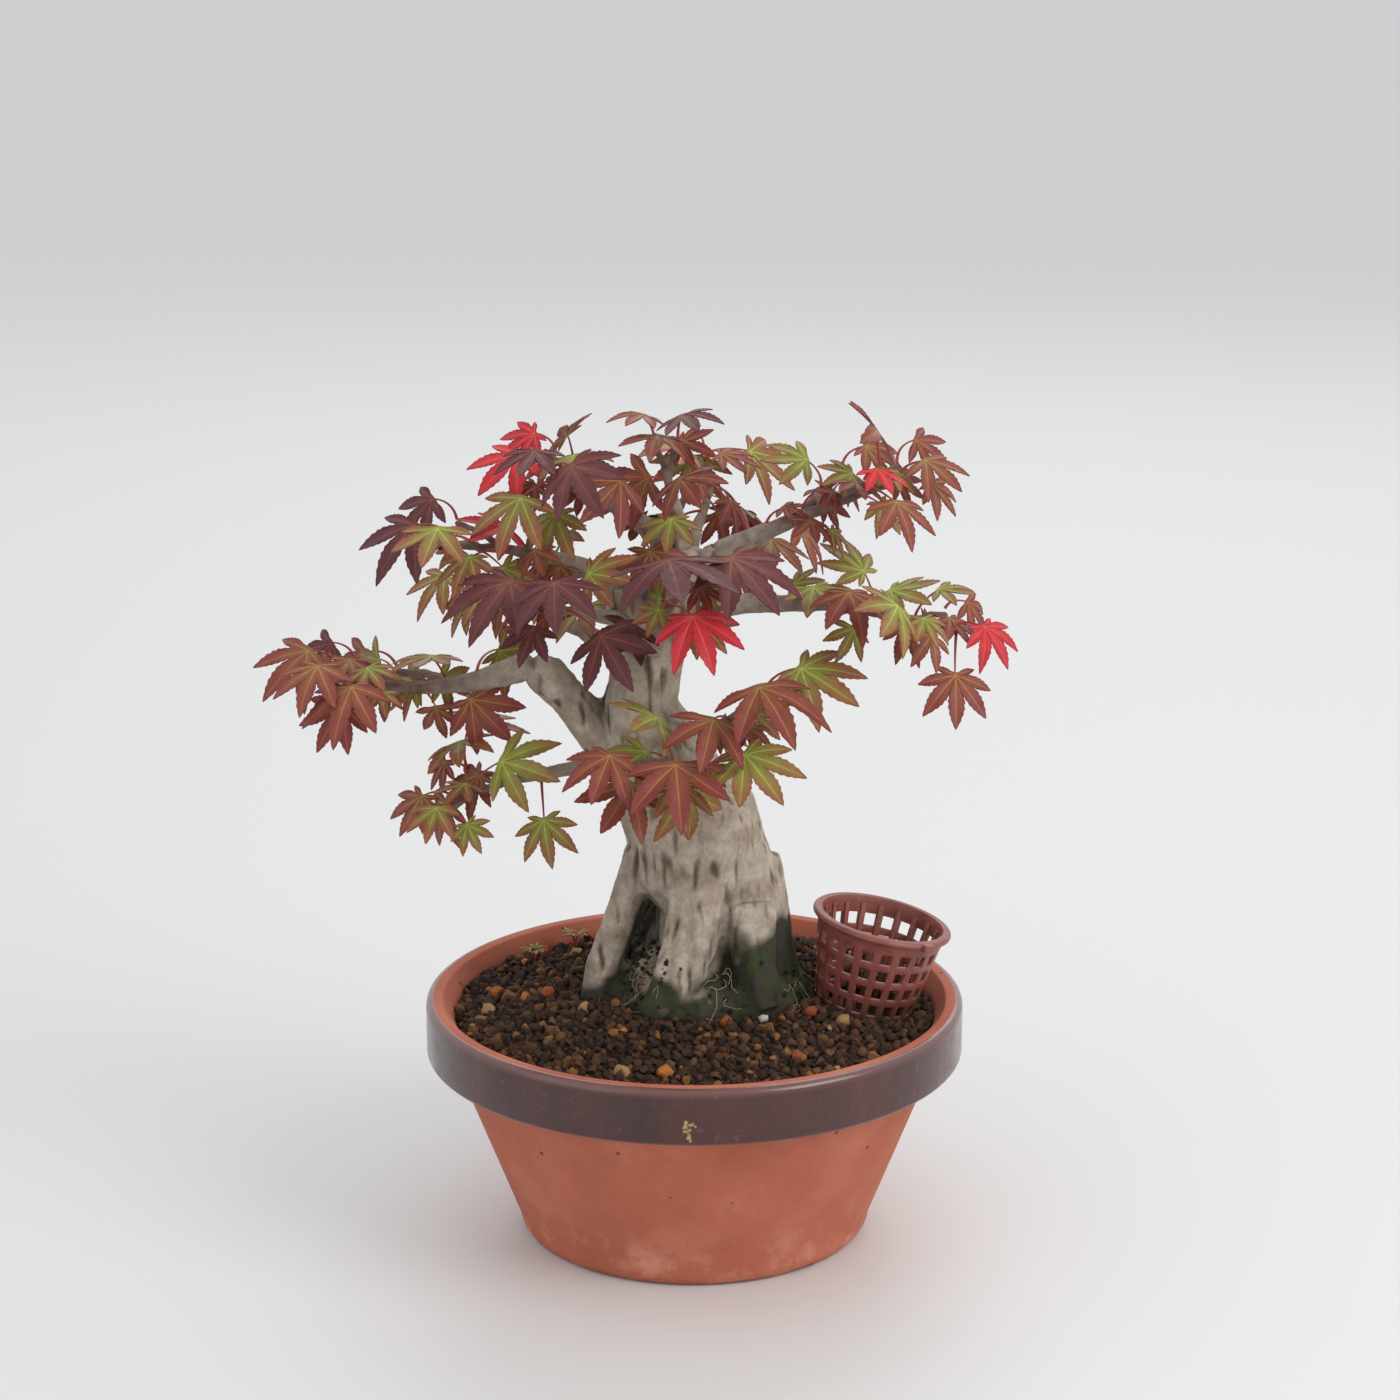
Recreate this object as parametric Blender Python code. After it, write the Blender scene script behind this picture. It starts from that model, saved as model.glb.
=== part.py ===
"""Maple bonsai in a round training pot with a glazed rim, built piece by piece.

Lengths are metres and +Z is up. The pot stands on z = 0, and every piece hangs from one empty on the pot's
axis. The tree's own lengths are millimetres of a tree of DESIGN_HEIGHT, measured from the root collar, which
lies on the pot's axis where the roots meet the soil; tree_point() scales and places them. Branches, twigs and
leaves grow by rule from a few values for each branch.
"""

from collections import Counter, namedtuple
import math

import bmesh
import bpy
from mathutils import Matrix, Vector
from mathutils.bvhtree import BVHTree

GAP = 0.0003  # between two pieces that touch

# The pot's axis, off the origin so that the origin is the middle of the whole object's footprint.
POT_AXIS_X = 0.018

POT_DIAMETER = 0.180
POT_HEIGHT = 0.081
WALL = 0.006
FLOOR_Z = 0.008
BASE_DIAMETER = 0.119  # where the wall meets the rounded foot
FOOT_DIAMETER = 0.110  # the edge that the pot stands on
FOOT_RISE = 0.0058
FOOT_RING_WIDTH = 0.010
RECESS_DEPTH = 0.0020
BAND_HEIGHT = 0.0186  # the glazed band, bevel and all
BAND_PROUD = 0.0085
LIP_BEVEL = 0.0024
LIP_WIDTH = 0.0036
LIP_FALL = 0.0050
LIP_SLOPE = 0.0030
EDGE_ROUND = 0.0008  # on the pot's finer edges
DRAIN_HOLE_DIAMETER = 0.026
FOOT_NOTCHES = 3
FOOT_NOTCH_WIDTH = 0.011
FOOT_NOTCH_TURN = math.radians(-52)  # of the first one from the X axis
POT_STEPS = 48

NET_SIDE = 0.040
NET_THICKNESS = 0.0010
NET_MESHES = 4

DRAINAGE_DEPTH = 0.012
SOIL_BELOW_RIM = 0.006  # at the wall
COLLAR_ABOVE_RIM = 0.005  # the mound's top, where the roots meet it

BASKET_RIM_DIAMETER = 0.047
BASKET_FOOT_DIAMETER = 0.030
BASKET_HEIGHT = 0.040
BASKET_WALL = 0.0012
BASKET_RIM_WIDTH = 0.0016  # how far the rolled rim stands out from the wall
BASKET_RIM_DROP = 0.0020
BASKET_BAND = 0.0058  # plain wall over the top windows, rim and all
BASKET_SKIRT = 0.0046  # plain wall under the lowest windows
BASKET_RING = 0.0024  # between two rows of windows
BASKET_RIBS = 20
BASKET_ROWS = 5
BASKET_LEAN = math.radians(12)
BASKET_FROM_EDGE = 0.0353  # from the pot's outer edge in to the middle of the basket's foot
BASKET_Y = -0.003
BASKET_BURIED = 0.010
BASKET_SPIKE = 0.009
SPIKE_TIP_RADIUS = 0.0009
SPIKE_ROOT_RADIUS = 0.0045
RIB_NARROWING = 0.12  # of half a rib pitch, so that the windows are the wider
HINGE_STUB = (0.0030, 0.0042, 0.0028)  # across the wall, along it, up
HINGE_TURN = math.radians(-52)
ROOTS_TO_BASKET = 0.0018

DESIGN_HEIGHT = 196  # tree millimetres, from the collar to the top leaf
TREE_HEIGHT = 0.196  # from the collar to the top leaf
ROOT_PAD_X = 4  # tree millimetres
ROOT_PAD_DEPTH = 0.042
ROOT_PAD_TOP = 0.015  # over the collar, at the middle
WOOD_SIDES = 10
LEAF_THICKNESS = 0.0005
STALK_WIDTH = 0.0010
COLLAR_DIP = 0.001  # of the soil's top below the collar

# --- the trunk, and the roots and limbs that swell out of it ---
# Rows of (x, y, z, radius) in tree millimetres.


TRUNK = (
    (10, 3, -8, 26), (10, 3, 14, 22.5), (8, 2, 31, 20.5), (2, 1, 44, 23), (0, 0, 55, 22.5),
    (-7, -1, 67, 19), (-12, -2, 78, 17), (-16, -3, 88, 14.5), (-18, -4, 98, 12.5), (-16, -4, 108, 11.5),
    (-13, -4, 119, 11), (-9, -3, 130, 11), (-5, -2, 141, 9.5), (-4, -2, 149, 6.5),
)
TRUNK_LIMBS = {
    "standing_leg": ((-9, -1, 52, 10), (-17, -2, 42, 7.5), (-22, -3, 30, 6), (-26, -4, 17, 6), (-30, -5, 5, 7),
                     (-32, -6, -6, 7)),
    "dark_root_wall": ((-6, 9, 30, 6), (-14, 9, 15, 8), (-18, 6, 2, 11)),
    "front_buttress": ((3, -10, 36, 12), (-2, -20, 16, 9), (-8, -27, 4, 6), (-14, -31, -3, 3.5)),
    "front_right_buttress": ((18, -12, 30, 9), (20, -20, 12, 8), (22, -24, -2, 7)),
    "right_buttress": ((18, 4, 40, 11), (25, 4, 16, 8.5), (27, 4, -3, 9)),
    "back_buttress": ((10, 14, 36, 11), (12, 20, 16, 10), (12, 24, -3, 8)),
    "low_left_limb": ((-18, 0, 72, 10), (-30, -2, 85, 8), (-40, -5, 98, 7), (-48, -7, 107, 7.5),
                      (-53, -8, 111, 5)),
    "left_shoulder": ((-14, -4, 112, 9), (-22, -6, 127, 7.5), (-24, -7, 138, 5.5)),
    "scarred_knob": ((-6, -3, 128, 9), (4, -3, 138, 8), (11, -3, 146, 6)),
}

# --- the branches ---
# A branch leaves the trunk at a height, or goes on from the end of a limb. Its bearing is in degrees from +X
# towards +Y. It rises by one angle at its start and by another at its tip. Leaf is a middle lobe's length.

Branch = namedtuple("Branch", "start bearing length rise tip_rise radius twigs leaf colours")
BRANCHES = {
    "left_branch": Branch("low_left_limb", 187, 63, -25, 15, 5, 4, 17, ("russet", "russet", "maroon")),
    "low_left_branch": Branch(74, 188, 72, 10, -20, 4, 2, 12, ("russet", "green")),
    "right_branch": Branch(127, 354, 97, 15, -15, 5, 2, 12, ("scarlet", "russet", "green")),
    "upper_right_branch": Branch(140, 352, 80, 30, 20, 5, 3, 13, ("russet", "russet", "scarlet")),
    "crown_left_branch": Branch(146, 193, 52, 47, 20, 5, 2, 15, ("scarlet", "maroon")),
    "crown_middle_branch": Branch(146, 250, 34, 80, 55, 5, 2, 14, ("russet", "maroon")),
    "crown_right_branch": Branch(138, 60, 36, 45, 50, 4.5, 1, 11, ("russet",)),
    "upper_left_branch": Branch("left_shoulder", 196, 58, 30, 5, 4.5, 2, 17, ("maroon", "green", "maroon")),
    "inner_left_branch": Branch(122, 220, 48, 20, 15, 4.5, 1, 20, ("maroon",)),
    "front_high_branch": Branch(112, 282, 42, 20, 50, 4.5, 1, 24, ("maroon",)),
    "low_right_branch": Branch(88, 312, 48, 5, 25, 4.5, 1, 21, ("russet", "green")),
    "front_low_branch": Branch(82, 280, 46, 10, 0, 4.5, 2, 20, ("russet", "green", "russet")),
    "back_left_branch": Branch(108, 138, 72, 20, 5, 5, 2, 15, ("russet", "green", "maroon")),
    "back_right_branch": Branch(124, 54, 66, 20, 5, 5, 1, 16, ("russet", "maroon")),
}
STEM_JOINTS = 7  # a maple's stem bends a little at each bud
ZIGZAG = 7  # degrees to either side
TAPER = 1.5
STEM_TIP_RADIUS = 0.9
TWIG_RADIUS = 1.8
TWIG_SPREAD = 52  # degrees to one side of the stem, then to the other
TWIG_RISE = 14
TWIG_LENGTH = 15  # of the twig nearest the tip; each one further back is longer by TWIG_GROWTH
TWIG_GROWTH = 4

# One leaf, in lengths of its middle lobe: each lobe's angle from the middle one, and its length.
LOBES = ((-84, 0.66), (-40, 0.94), (0, 1.0), (40, 0.94), (84, 0.66))
LOBE_SHOULDER = 0.55  # how far out a lobe is widest
LOBE_HALF_WIDTH = 0.15
SINUS_DEPTH = 0.33  # from the hub to the notch between two lobes
LEAF_DROOP = 0.28  # how far a lobe of unit length hangs below the hub
LEAF_REACH = 0.8  # from the stem's end to the hub
LEAF_SHRINK = 0.12  # each of two following leaves is smaller by this share
LEAF_FACING = Vector((0.1, -0.6, 0.8))  # towards the light
STALK_STEPS = 3
LEAF_LIFTS = 12  # tries, each a twentieth of the middle lobe

# --- worked out from the above ---

POT_RADIUS = POT_DIAMETER / 2
COLLAR_Z = POT_HEIGHT + COLLAR_ABOVE_RIM
SOIL_EDGE_Z = POT_HEIGHT - SOIL_BELOW_RIM
TREE_MM = TREE_HEIGHT / DESIGN_HEIGHT
LIP_INNER_RADIUS = POT_RADIUS - LIP_BEVEL - LIP_WIDTH
BAND_FOOT_Z = POT_HEIGHT - BAND_HEIGHT
BODY_RADIUS = POT_RADIUS - BAND_PROUD


def tree_point(x, y, z):
    """A point of the tree, from tree millimetres to metres about the pot's axis."""
    return Vector((x, y, z)) * TREE_MM + Vector((0, 0, COLLAR_Z))


def material(name, colour, roughness):
    made = bpy.data.materials.new(name)
    made.use_nodes = True
    shader = made.node_tree.nodes["Principled BSDF"]
    shader.inputs["Base Color"].default_value = (*colour, 1)
    shader.inputs["Roughness"].default_value = roughness
    made.diffuse_color = (*colour, 1)
    return made


def piece(name, bm, finish):
    """Turns a bmesh into a named object under the pot's axis."""
    bmesh.ops.recalc_face_normals(bm, faces=bm.faces)
    mesh = bpy.data.meshes.new(name)
    bm.to_mesh(mesh)
    bm.free()
    mesh.materials.append(finish)
    made = bpy.data.objects.new(name, mesh)
    bpy.context.scene.collection.objects.link(made)
    made.parent = bpy.data.objects["pot_axis"]
    return made


def turned(profile, steps, closed=False):
    """Spins a profile of (radius, height) points once round the Z axis."""
    bm = bmesh.new()
    points = [bm.verts.new((r, 0, z)) for r, z in profile]
    pairs = list(zip(points, points[1:] + points[:1]))
    for a, b in pairs if closed else pairs[:-1]:
        bm.edges.new((a, b))
    bmesh.ops.spin(
        bm, geom=bm.verts[:] + bm.edges[:], cent=(0, 0, 0), axis=(0, 0, 1), angle=math.tau, steps=steps,
        use_merge=True,
    )
    bmesh.ops.remove_doubles(bm, verts=bm.verts, dist=1e-6)
    bmesh.ops.dissolve_degenerate(bm, edges=bm.edges, dist=1e-7)
    return bm


def smooth_route(rows, parts):
    """Catmull-Rom points through rows of any width, with this many parts to each span."""
    rows = [Vector(row) for row in rows]
    ends = [2 * rows[0] - rows[1]] + rows + [2 * rows[-1] - rows[-2]]
    route = []
    for a, b, c, d in zip(ends, ends[1:], ends[2:], ends[3:]):
        for k in range(parts):
            t = k / parts
            route.append(0.5 * (2 * b + (c - a) * t + (2 * a - 5 * b + 4 * c - d) * t**2
                                + (3 * b - a - 3 * c + d) * t**3))
    return route + [rows[-1]]


def limb(rows, sides, parts, ridges=0.0):
    """A closed tube of wood along rows of (x, y, z, radius) in tree millimetres, with shallow ridges."""
    route = smooth_route(rows, parts)
    bm = bmesh.new()
    rings = []
    across = Vector((0, 1, 0))
    for i, row in enumerate(route):
        ahead = (route[min(i + 1, len(route) - 1)] - route[max(i - 1, 0)]).to_3d().normalized()
        across = (across - across.dot(ahead) * ahead).normalized()
        other = ahead.cross(across)
        ring = []
        for k in range(sides):
            a = math.tau * k / sides
            swell = 1 + ridges * (math.sin(3 * a + 0.05 * row.z) + 0.6 * math.sin(5 * a - 0.08 * row.z))
            out = (math.cos(a) * across + math.sin(a) * other) * row.w * swell
            ring.append(bm.verts.new(tree_point(*(row.to_3d() + out))))
        rings.append(ring)
    for low, high in zip(rings, rings[1:]):
        for k in range(sides):
            bm.faces.new((low[k - 1], low[k], high[k], high[k - 1]))
    bm.faces.new(rings[0][::-1])
    bm.faces.new(rings[-1])
    return bm


def combine(target, other, operation):
    """Applies one exact Boolean of two solids to the first, and removes the second."""
    step = target.modifiers.new(operation, "BOOLEAN")
    step.operation = operation
    step.object = other
    step.use_self = operation == "DIFFERENCE"
    bpy.context.view_layer.update()
    result = bpy.data.meshes.new_from_object(target.evaluated_get(bpy.context.evaluated_depsgraph_get()))
    target.modifiers.remove(step)
    target.data = result
    bpy.data.objects.remove(other)
    clean(target)


def clean(target):
    """Merges doubled points and keeps only the largest body of an object."""
    bm = bmesh.new()
    bm.from_mesh(target.data)
    bmesh.ops.remove_doubles(bm, verts=bm.verts, dist=2e-6)
    bmesh.ops.dissolve_degenerate(bm, edges=bm.edges, dist=2e-6)
    bmesh.ops.triangulate(bm, faces=bm.faces)
    left = set(bm.verts)
    bodies = []
    while left:
        body = {left.pop()}
        edge = list(body)
        while edge:
            near = {e.other_vert(v) for v in edge for e in v.link_edges} - body
            body |= near
            edge = list(near)
        left -= body
        bodies.append(body)
    largest = max(bodies, key=len)
    bmesh.ops.delete(bm, geom=[v for v in bm.verts if v not in largest], context="VERTS")
    bm.to_mesh(target.data)
    bm.free()


def grown_copy(target, gap):
    """A copy whose surface stands off the original, to cut room for it."""
    copy = target.copy()
    copy.data = target.data.copy()
    bpy.context.scene.collection.objects.link(copy)
    normals = [v.normal.copy() for v in copy.data.vertices]
    for point, normal in zip(copy.data.vertices, normals):
        point.co += normal * gap
    return copy


def make_room(target, *neighbours):
    """Cuts a solid back so that it keeps GAP to neighbours that are already in place."""
    for neighbour in neighbours:
        combine(target, grown_copy(neighbour, 1.4 * GAP), "DIFFERENCE")


# --- pot ---


def pot_wall_radius(z, inset=0.0):
    """The inside of the pot at a height, drawn in by inset."""
    for (r0, z0), (r1, z1) in zip(POT_INSIDE, POT_INSIDE[1:]):
        if z0 <= z <= z1:
            return r0 + (r1 - r0) * (z - z0) / (z1 - z0) - inset
    return POT_INSIDE[-1][0] - inset


def wall_outside(z):
    """The outer radius of the tapered wall at a height, from the foot to under the band."""
    share = (z - FOOT_RISE) / (BAND_FOOT_Z - FOOT_RISE)
    return BASE_DIAMETER / 2 + share * (BODY_RADIUS - BASE_DIAMETER / 2)


POT_INSIDE = (
    (wall_outside(FLOOR_Z) - WALL - 0.004, FLOOR_Z),
    (wall_outside(FLOOR_Z) - WALL, FLOOR_Z + 0.003),
    (wall_outside(BAND_FOOT_Z) - WALL, BAND_FOOT_Z),
    (LIP_INNER_RADIUS - LIP_SLOPE, POT_HEIGHT - LIP_FALL),
    (LIP_INNER_RADIUS, POT_HEIGHT - EDGE_ROUND),
    (LIP_INNER_RADIUS + EDGE_ROUND, POT_HEIGHT),
)


def make_pot(clay, glaze):
    """One fired piece: foot ring with notches, tapered wall, glazed band, sloping lip and drain hole."""
    foot = FOOT_DIAMETER / 2
    hole = DRAIN_HOLE_DIAMETER / 2
    under = foot - FOOT_RING_WIDTH
    outside = [
        (hole, RECESS_DEPTH),
        (under - RECESS_DEPTH, RECESS_DEPTH),
        (under, 0),
        (foot, 0),
        (foot + 0.6 * (BASE_DIAMETER / 2 - foot), 0.3 * FOOT_RISE),
        (BASE_DIAMETER / 2, FOOT_RISE),
        (wall_outside(0.5 * BAND_FOOT_Z), 0.5 * BAND_FOOT_Z),
        (BODY_RADIUS, BAND_FOOT_Z),
        (POT_RADIUS - 1.5 * EDGE_ROUND, BAND_FOOT_Z),
        (POT_RADIUS, BAND_FOOT_Z + 1.5 * EDGE_ROUND),
        (POT_RADIUS, POT_HEIGHT - LIP_BEVEL),
        (POT_RADIUS - LIP_BEVEL, POT_HEIGHT),
    ]
    inside = list(POT_INSIDE[::-1]) + [(hole, FLOOR_Z)]
    pot = piece("pot", turned(outside + inside, POT_STEPS, closed=True), clay)
    for k in range(FOOT_NOTCHES):
        turn = FOOT_NOTCH_TURN + math.tau * k / FOOT_NOTCHES
        bm = bmesh.new()
        place = Matrix.Rotation(turn, 4, "Z") @ Matrix.Translation((foot - FOOT_RING_WIDTH / 2, 0, 0))
        size = Matrix.Diagonal((3 * FOOT_RING_WIDTH, FOOT_NOTCH_WIDTH, 2 * RECESS_DEPTH - 2 * GAP, 1))
        bmesh.ops.create_cube(bm, size=1, matrix=place @ size)
        combine(pot, piece("foot_notch_cutter", bm, clay), "DIFFERENCE")
    pot.data.materials.append(glaze)
    for face in pot.data.polygons:
        middle = face.center
        on_band = math.hypot(middle.x, middle.y) > POT_RADIUS - LIP_BEVEL and middle.z > BAND_FOOT_Z
        face.material_index = int(on_band)
    return pot


def in_net_hole(middle, pitch):
    """Whether a cell of the net is open: the odd ones both ways are."""
    column, row = (round((v + NET_SIDE / 2) / pitch - 0.5) for v in (middle.x, middle.y))
    return column % 2 == 1 and row % 2 == 1


def make_drain_net(finish):
    """A square of plastic net that keeps the soil out of the drain hole."""
    cells = 2 * NET_MESHES + 1
    bm = bmesh.new()
    bmesh.ops.create_grid(bm, x_segments=cells, y_segments=cells, size=NET_SIDE / 2)
    holes = [f for f in bm.faces if in_net_hole(f.calc_center_median(), NET_SIDE / cells)]
    bmesh.ops.delete(bm, geom=holes, context="FACES")
    net = piece("drain_net", bm, finish)
    net.location.z = FLOOR_Z + GAP
    thick = net.modifiers.new("thickness", "SOLIDIFY")
    thick.thickness = NET_THICKNESS
    thick.offset = 1
    return net


def make_drainage_layer(finish):
    """The layer of coarse grit over the net, with room for the net below it."""
    low = FLOOR_Z + GAP
    over_net = low + NET_THICKNESS + GAP
    net_reach = NET_SIDE / math.sqrt(2) + 3 * GAP
    top = FLOOR_Z + DRAINAGE_DEPTH
    profile = [
        (0, over_net), (net_reach, over_net), (net_reach, low), (POT_INSIDE[0][0] - 2 * GAP, low),
        (POT_INSIDE[1][0] - 2 * GAP, POT_INSIDE[1][1] + GAP), (pot_wall_radius(top, 1.5 * GAP), top), (0, top),
    ]
    return piece("drainage_layer", turned(profile, 40), finish)


# --- basket ---


def basket_radius(up):
    """The basket wall's outer radius at a height above its foot."""
    top = BASKET_RIM_DIAMETER / 2 - BASKET_RIM_WIDTH
    return BASKET_FOOT_DIAMETER / 2 + (top - BASKET_FOOT_DIAMETER / 2) * up / BASKET_HEIGHT


def soil_height(radius):
    """The mound's surface at a distance from the pot's axis."""
    edge = pot_wall_radius(SOIL_EDGE_Z)
    share = min(1, radius / edge)
    return SOIL_EDGE_Z + (COLLAR_Z - COLLAR_DIP - SOIL_EDGE_Z) * (1 + math.cos(math.pi * share**1.6)) / 2


BASKET_X = POT_RADIUS - BASKET_FROM_EDGE
BASKET_FOOT_Z = soil_height(math.hypot(BASKET_X, BASKET_Y)) - BASKET_BURIED


def make_feed_basket(finish):
    """A tapered lattice cup with a rolled rim, a spike under its floor and the stub of a lid hinge."""
    bm = bmesh.new()
    rows = [0.0, BASKET_SKIRT]
    pitch = (BASKET_HEIGHT - BASKET_BAND - BASKET_SKIRT + BASKET_RING) / BASKET_ROWS
    for k in range(BASKET_ROWS):
        rows += [BASKET_SKIRT + (k + 1) * pitch - BASKET_RING, BASKET_SKIRT + (k + 1) * pitch]
    rows[-1] = BASKET_HEIGHT - BASKET_RIM_DROP
    middle = BASKET_WALL / 2
    profile = [(basket_radius(up) - middle, up) for up in rows]
    rim = basket_radius(BASKET_HEIGHT) - middle
    profile += [
        (rim, BASKET_HEIGHT - middle),
        (rim + BASKET_RIM_WIDTH, BASKET_HEIGHT - middle),
        (rim + BASKET_RIM_WIDTH, BASKET_HEIGHT - BASKET_RIM_DROP),
    ]
    floor = basket_radius(0) - middle
    spike = [
        (SPIKE_TIP_RADIUS, -BASKET_SPIKE), (0.62 * SPIKE_ROOT_RADIUS, -BASKET_WALL), (SPIKE_ROOT_RADIUS, 0),
        ((floor + SPIKE_ROOT_RADIUS) / 2, 0),
    ]
    profile = spike + profile
    steps = 2 * BASKET_RIBS
    rings = []
    for r, z in profile:
        ring = []
        for k in range(steps):
            turn = math.tau * (k + RIB_NARROWING * (k % 2)) / steps
            ring.append(bm.verts.new((r * math.cos(turn), r * math.sin(turn), z)))
        rings.append(ring)
    bm.faces.new(rings[0])
    first_window = len(spike) + 1
    last_window = first_window + 2 * BASKET_ROWS - 1
    for i, (low, high) in enumerate(zip(rings, rings[1:])):
        window_row = first_window <= i < last_window and (i - first_window) % 2 == 0
        for k in range(steps):
            if k % 2 or not window_row:
                bm.faces.new((low[k], low[(k + 1) % steps], high[(k + 1) % steps], high[k]))
    basket = piece("feed_basket", bm, finish)
    thick = basket.modifiers.new("thickness", "SOLIDIFY")
    thick.thickness = BASKET_WALL
    thick.offset = 0
    bpy.context.view_layer.update()
    basket.data = bpy.data.meshes.new_from_object(basket.evaluated_get(bpy.context.evaluated_depsgraph_get()))
    basket.modifiers.clear()
    bm = bmesh.new()
    place = Matrix.Rotation(HINGE_TURN, 4, "Z")
    place = place @ Matrix.Translation((rim + BASKET_RIM_WIDTH, 0, BASKET_HEIGHT - BASKET_RIM_DROP / 2))
    bmesh.ops.create_cube(bm, size=1, matrix=place @ Matrix.Diagonal((*HINGE_STUB, 1)))
    combine(basket, piece("hinge_stub", bm, finish), "UNION")
    stand_in_soil(basket)
    return basket


def stand_in_soil(solid):
    """Leans a solid made about the basket's own axis and sets it at the basket's place."""
    solid.location = (BASKET_X, BASKET_Y, BASKET_FOOT_Z)
    solid.rotation_euler = (0, BASKET_LEAN, 0)


def basket_envelope(finish):
    """The space that the basket takes up in the soil, with GAP round it."""
    tip = -BASKET_SPIKE - BASKET_WALL
    foot = -BASKET_WALL / 2 - GAP
    profile = [
        (0, tip), (SPIKE_TIP_RADIUS + BASKET_WALL + 2 * GAP, tip),
        (SPIKE_ROOT_RADIUS + 2 * GAP, foot - BASKET_WALL), (basket_radius(0) + 2 * GAP, foot),
        (basket_radius(BASKET_HEIGHT) + 2 * GAP, BASKET_HEIGHT), (0, BASKET_HEIGHT),
    ]
    envelope = piece("basket_room", turned(profile, 2 * BASKET_RIBS), finish)
    stand_in_soil(envelope)
    return envelope


# --- tree ---


def make_trunk(bark):
    """The trunk with its buttress roots, limb stubs and the pad of roots that grows down into the soil."""
    trunk = piece("trunk", limb(TRUNK, 2 * WOOD_SIDES, 1, ridges=0.05), bark)
    for rows in TRUNK_LIMBS.values():
        combine(trunk, piece("trunk_limb", limb(rows, WOOD_SIDES, 1, ridges=0.05), bark), "UNION")
    basket_reach = basket_radius(BASKET_BURIED) / math.cos(BASKET_LEAN)
    basket_side = BASKET_X + BASKET_BURIED * math.tan(BASKET_LEAN) - basket_reach
    pad_x = ROOT_PAD_X * TREE_MM
    reach = basket_side - ROOTS_TO_BASKET - pad_x
    profile = [
        (0, ROOT_PAD_TOP), (0.55 * reach, 0.87 * ROOT_PAD_TOP), (0.84 * reach, 0.4 * ROOT_PAD_TOP),
        (reach, -0.02 * ROOT_PAD_DEPTH), (reach, -0.14 * ROOT_PAD_DEPTH), (0.9 * reach, -0.5 * ROOT_PAD_DEPTH),
        (0.7 * reach, -0.87 * ROOT_PAD_DEPTH), (0, -ROOT_PAD_DEPTH),
    ]
    pad = piece("root_pad", turned(profile, 30), bark)
    pad.location = (pad_x, 0, COLLAR_Z)
    combine(trunk, pad, "UNION")
    return trunk


def trunk_middle(height):
    """The middle of the trunk at a height over the collar, in tree millimetres."""
    for low, high in zip(TRUNK, TRUNK[1:]):
        if height <= high[2]:
            return Vector(low[:3]).lerp(Vector(high[:3]), (height - low[2]) / (high[2] - low[2]))
    return Vector(TRUNK[-1][:3])


def heading(bearing, rise):
    """A step of unit length, from a bearing and a rise in degrees."""
    b, r = math.radians(bearing), math.radians(rise)
    return Vector((math.cos(r) * math.cos(b), math.cos(r) * math.sin(b), math.sin(r)))


def branch_stems(branch):
    """A branch's main stem, then its twigs from the tip back, as rows of (x, y, z, radius)."""
    on_limb = branch.start in TRUNK_LIMBS
    at = Vector(TRUNK_LIMBS[branch.start][-1][:3]) if on_limb else trunk_middle(branch.start)
    main = [(*at, branch.radius)]
    rises = [branch.rise]
    for k in range(1, STEM_JOINTS + 1):
        share = k / STEM_JOINTS
        rises.append(branch.rise + (branch.tip_rise - branch.rise) * share)
        at = at + heading(branch.bearing + ZIGZAG * (-1) ** k, rises[k]) * branch.length / STEM_JOINTS
        main.append((*at, STEM_TIP_RADIUS + (branch.radius - STEM_TIP_RADIUS) * (1 - share) ** TAPER))
    stems = [main]
    for k in range(branch.twigs):
        joint = STEM_JOINTS - 1 - k
        start = Vector(main[joint][:3])
        length = TWIG_LENGTH + TWIG_GROWTH * k
        bearing = branch.bearing + TWIG_SPREAD * (-1) ** k
        middle = start + heading(bearing, rises[joint] + TWIG_RISE) * length / 2
        end = middle + heading(bearing - ZIGZAG * (-1) ** k, rises[joint]) * length / 2
        base = min(TWIG_RADIUS, 0.85 * main[joint][3])
        stems.append([(*start, base), (*middle, (base + STEM_TIP_RADIUS) / 2), (*end, STEM_TIP_RADIUS)])
    return stems


def make_branches(bark, trunk):
    """The bare wood of every branch, each cut back to meet the trunk and the branches before it."""
    made = []
    for name, plan in BRANCHES.items():
        stems = branch_stems(plan)
        branch = piece(name, limb(stems[0], WOOD_SIDES - 2, 1), bark)
        for rows in stems[1:]:
            combine(branch, piece("twig", limb(rows, WOOD_SIDES - 4, 1), bark), "UNION")
        make_room(branch, trunk, *made)
        made.append(branch)
    return made


def make_soil(finish, trunk):
    """The soil, mounded to the collar, with the root pad's and the basket's room cut out of it."""
    low = FLOOR_Z + DRAINAGE_DEPTH + GAP
    wall = [low, BAND_FOOT_Z, SOIL_EDGE_Z]
    profile = [(0, low)] + [(pot_wall_radius(z, 1.5 * GAP), z) for z in wall]
    edge = profile[-1][0]
    profile += [(edge * share, soil_height(edge * share)) for share in (0.9, 0.78, 0.65, 0.5, 0.3)]
    profile += [(0, soil_height(0))]
    soil = piece("soil", turned(profile, POT_STEPS - 8), finish)
    make_room(soil, trunk)
    combine(soil, basket_envelope(finish), "DIFFERENCE")
    return soil


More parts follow.
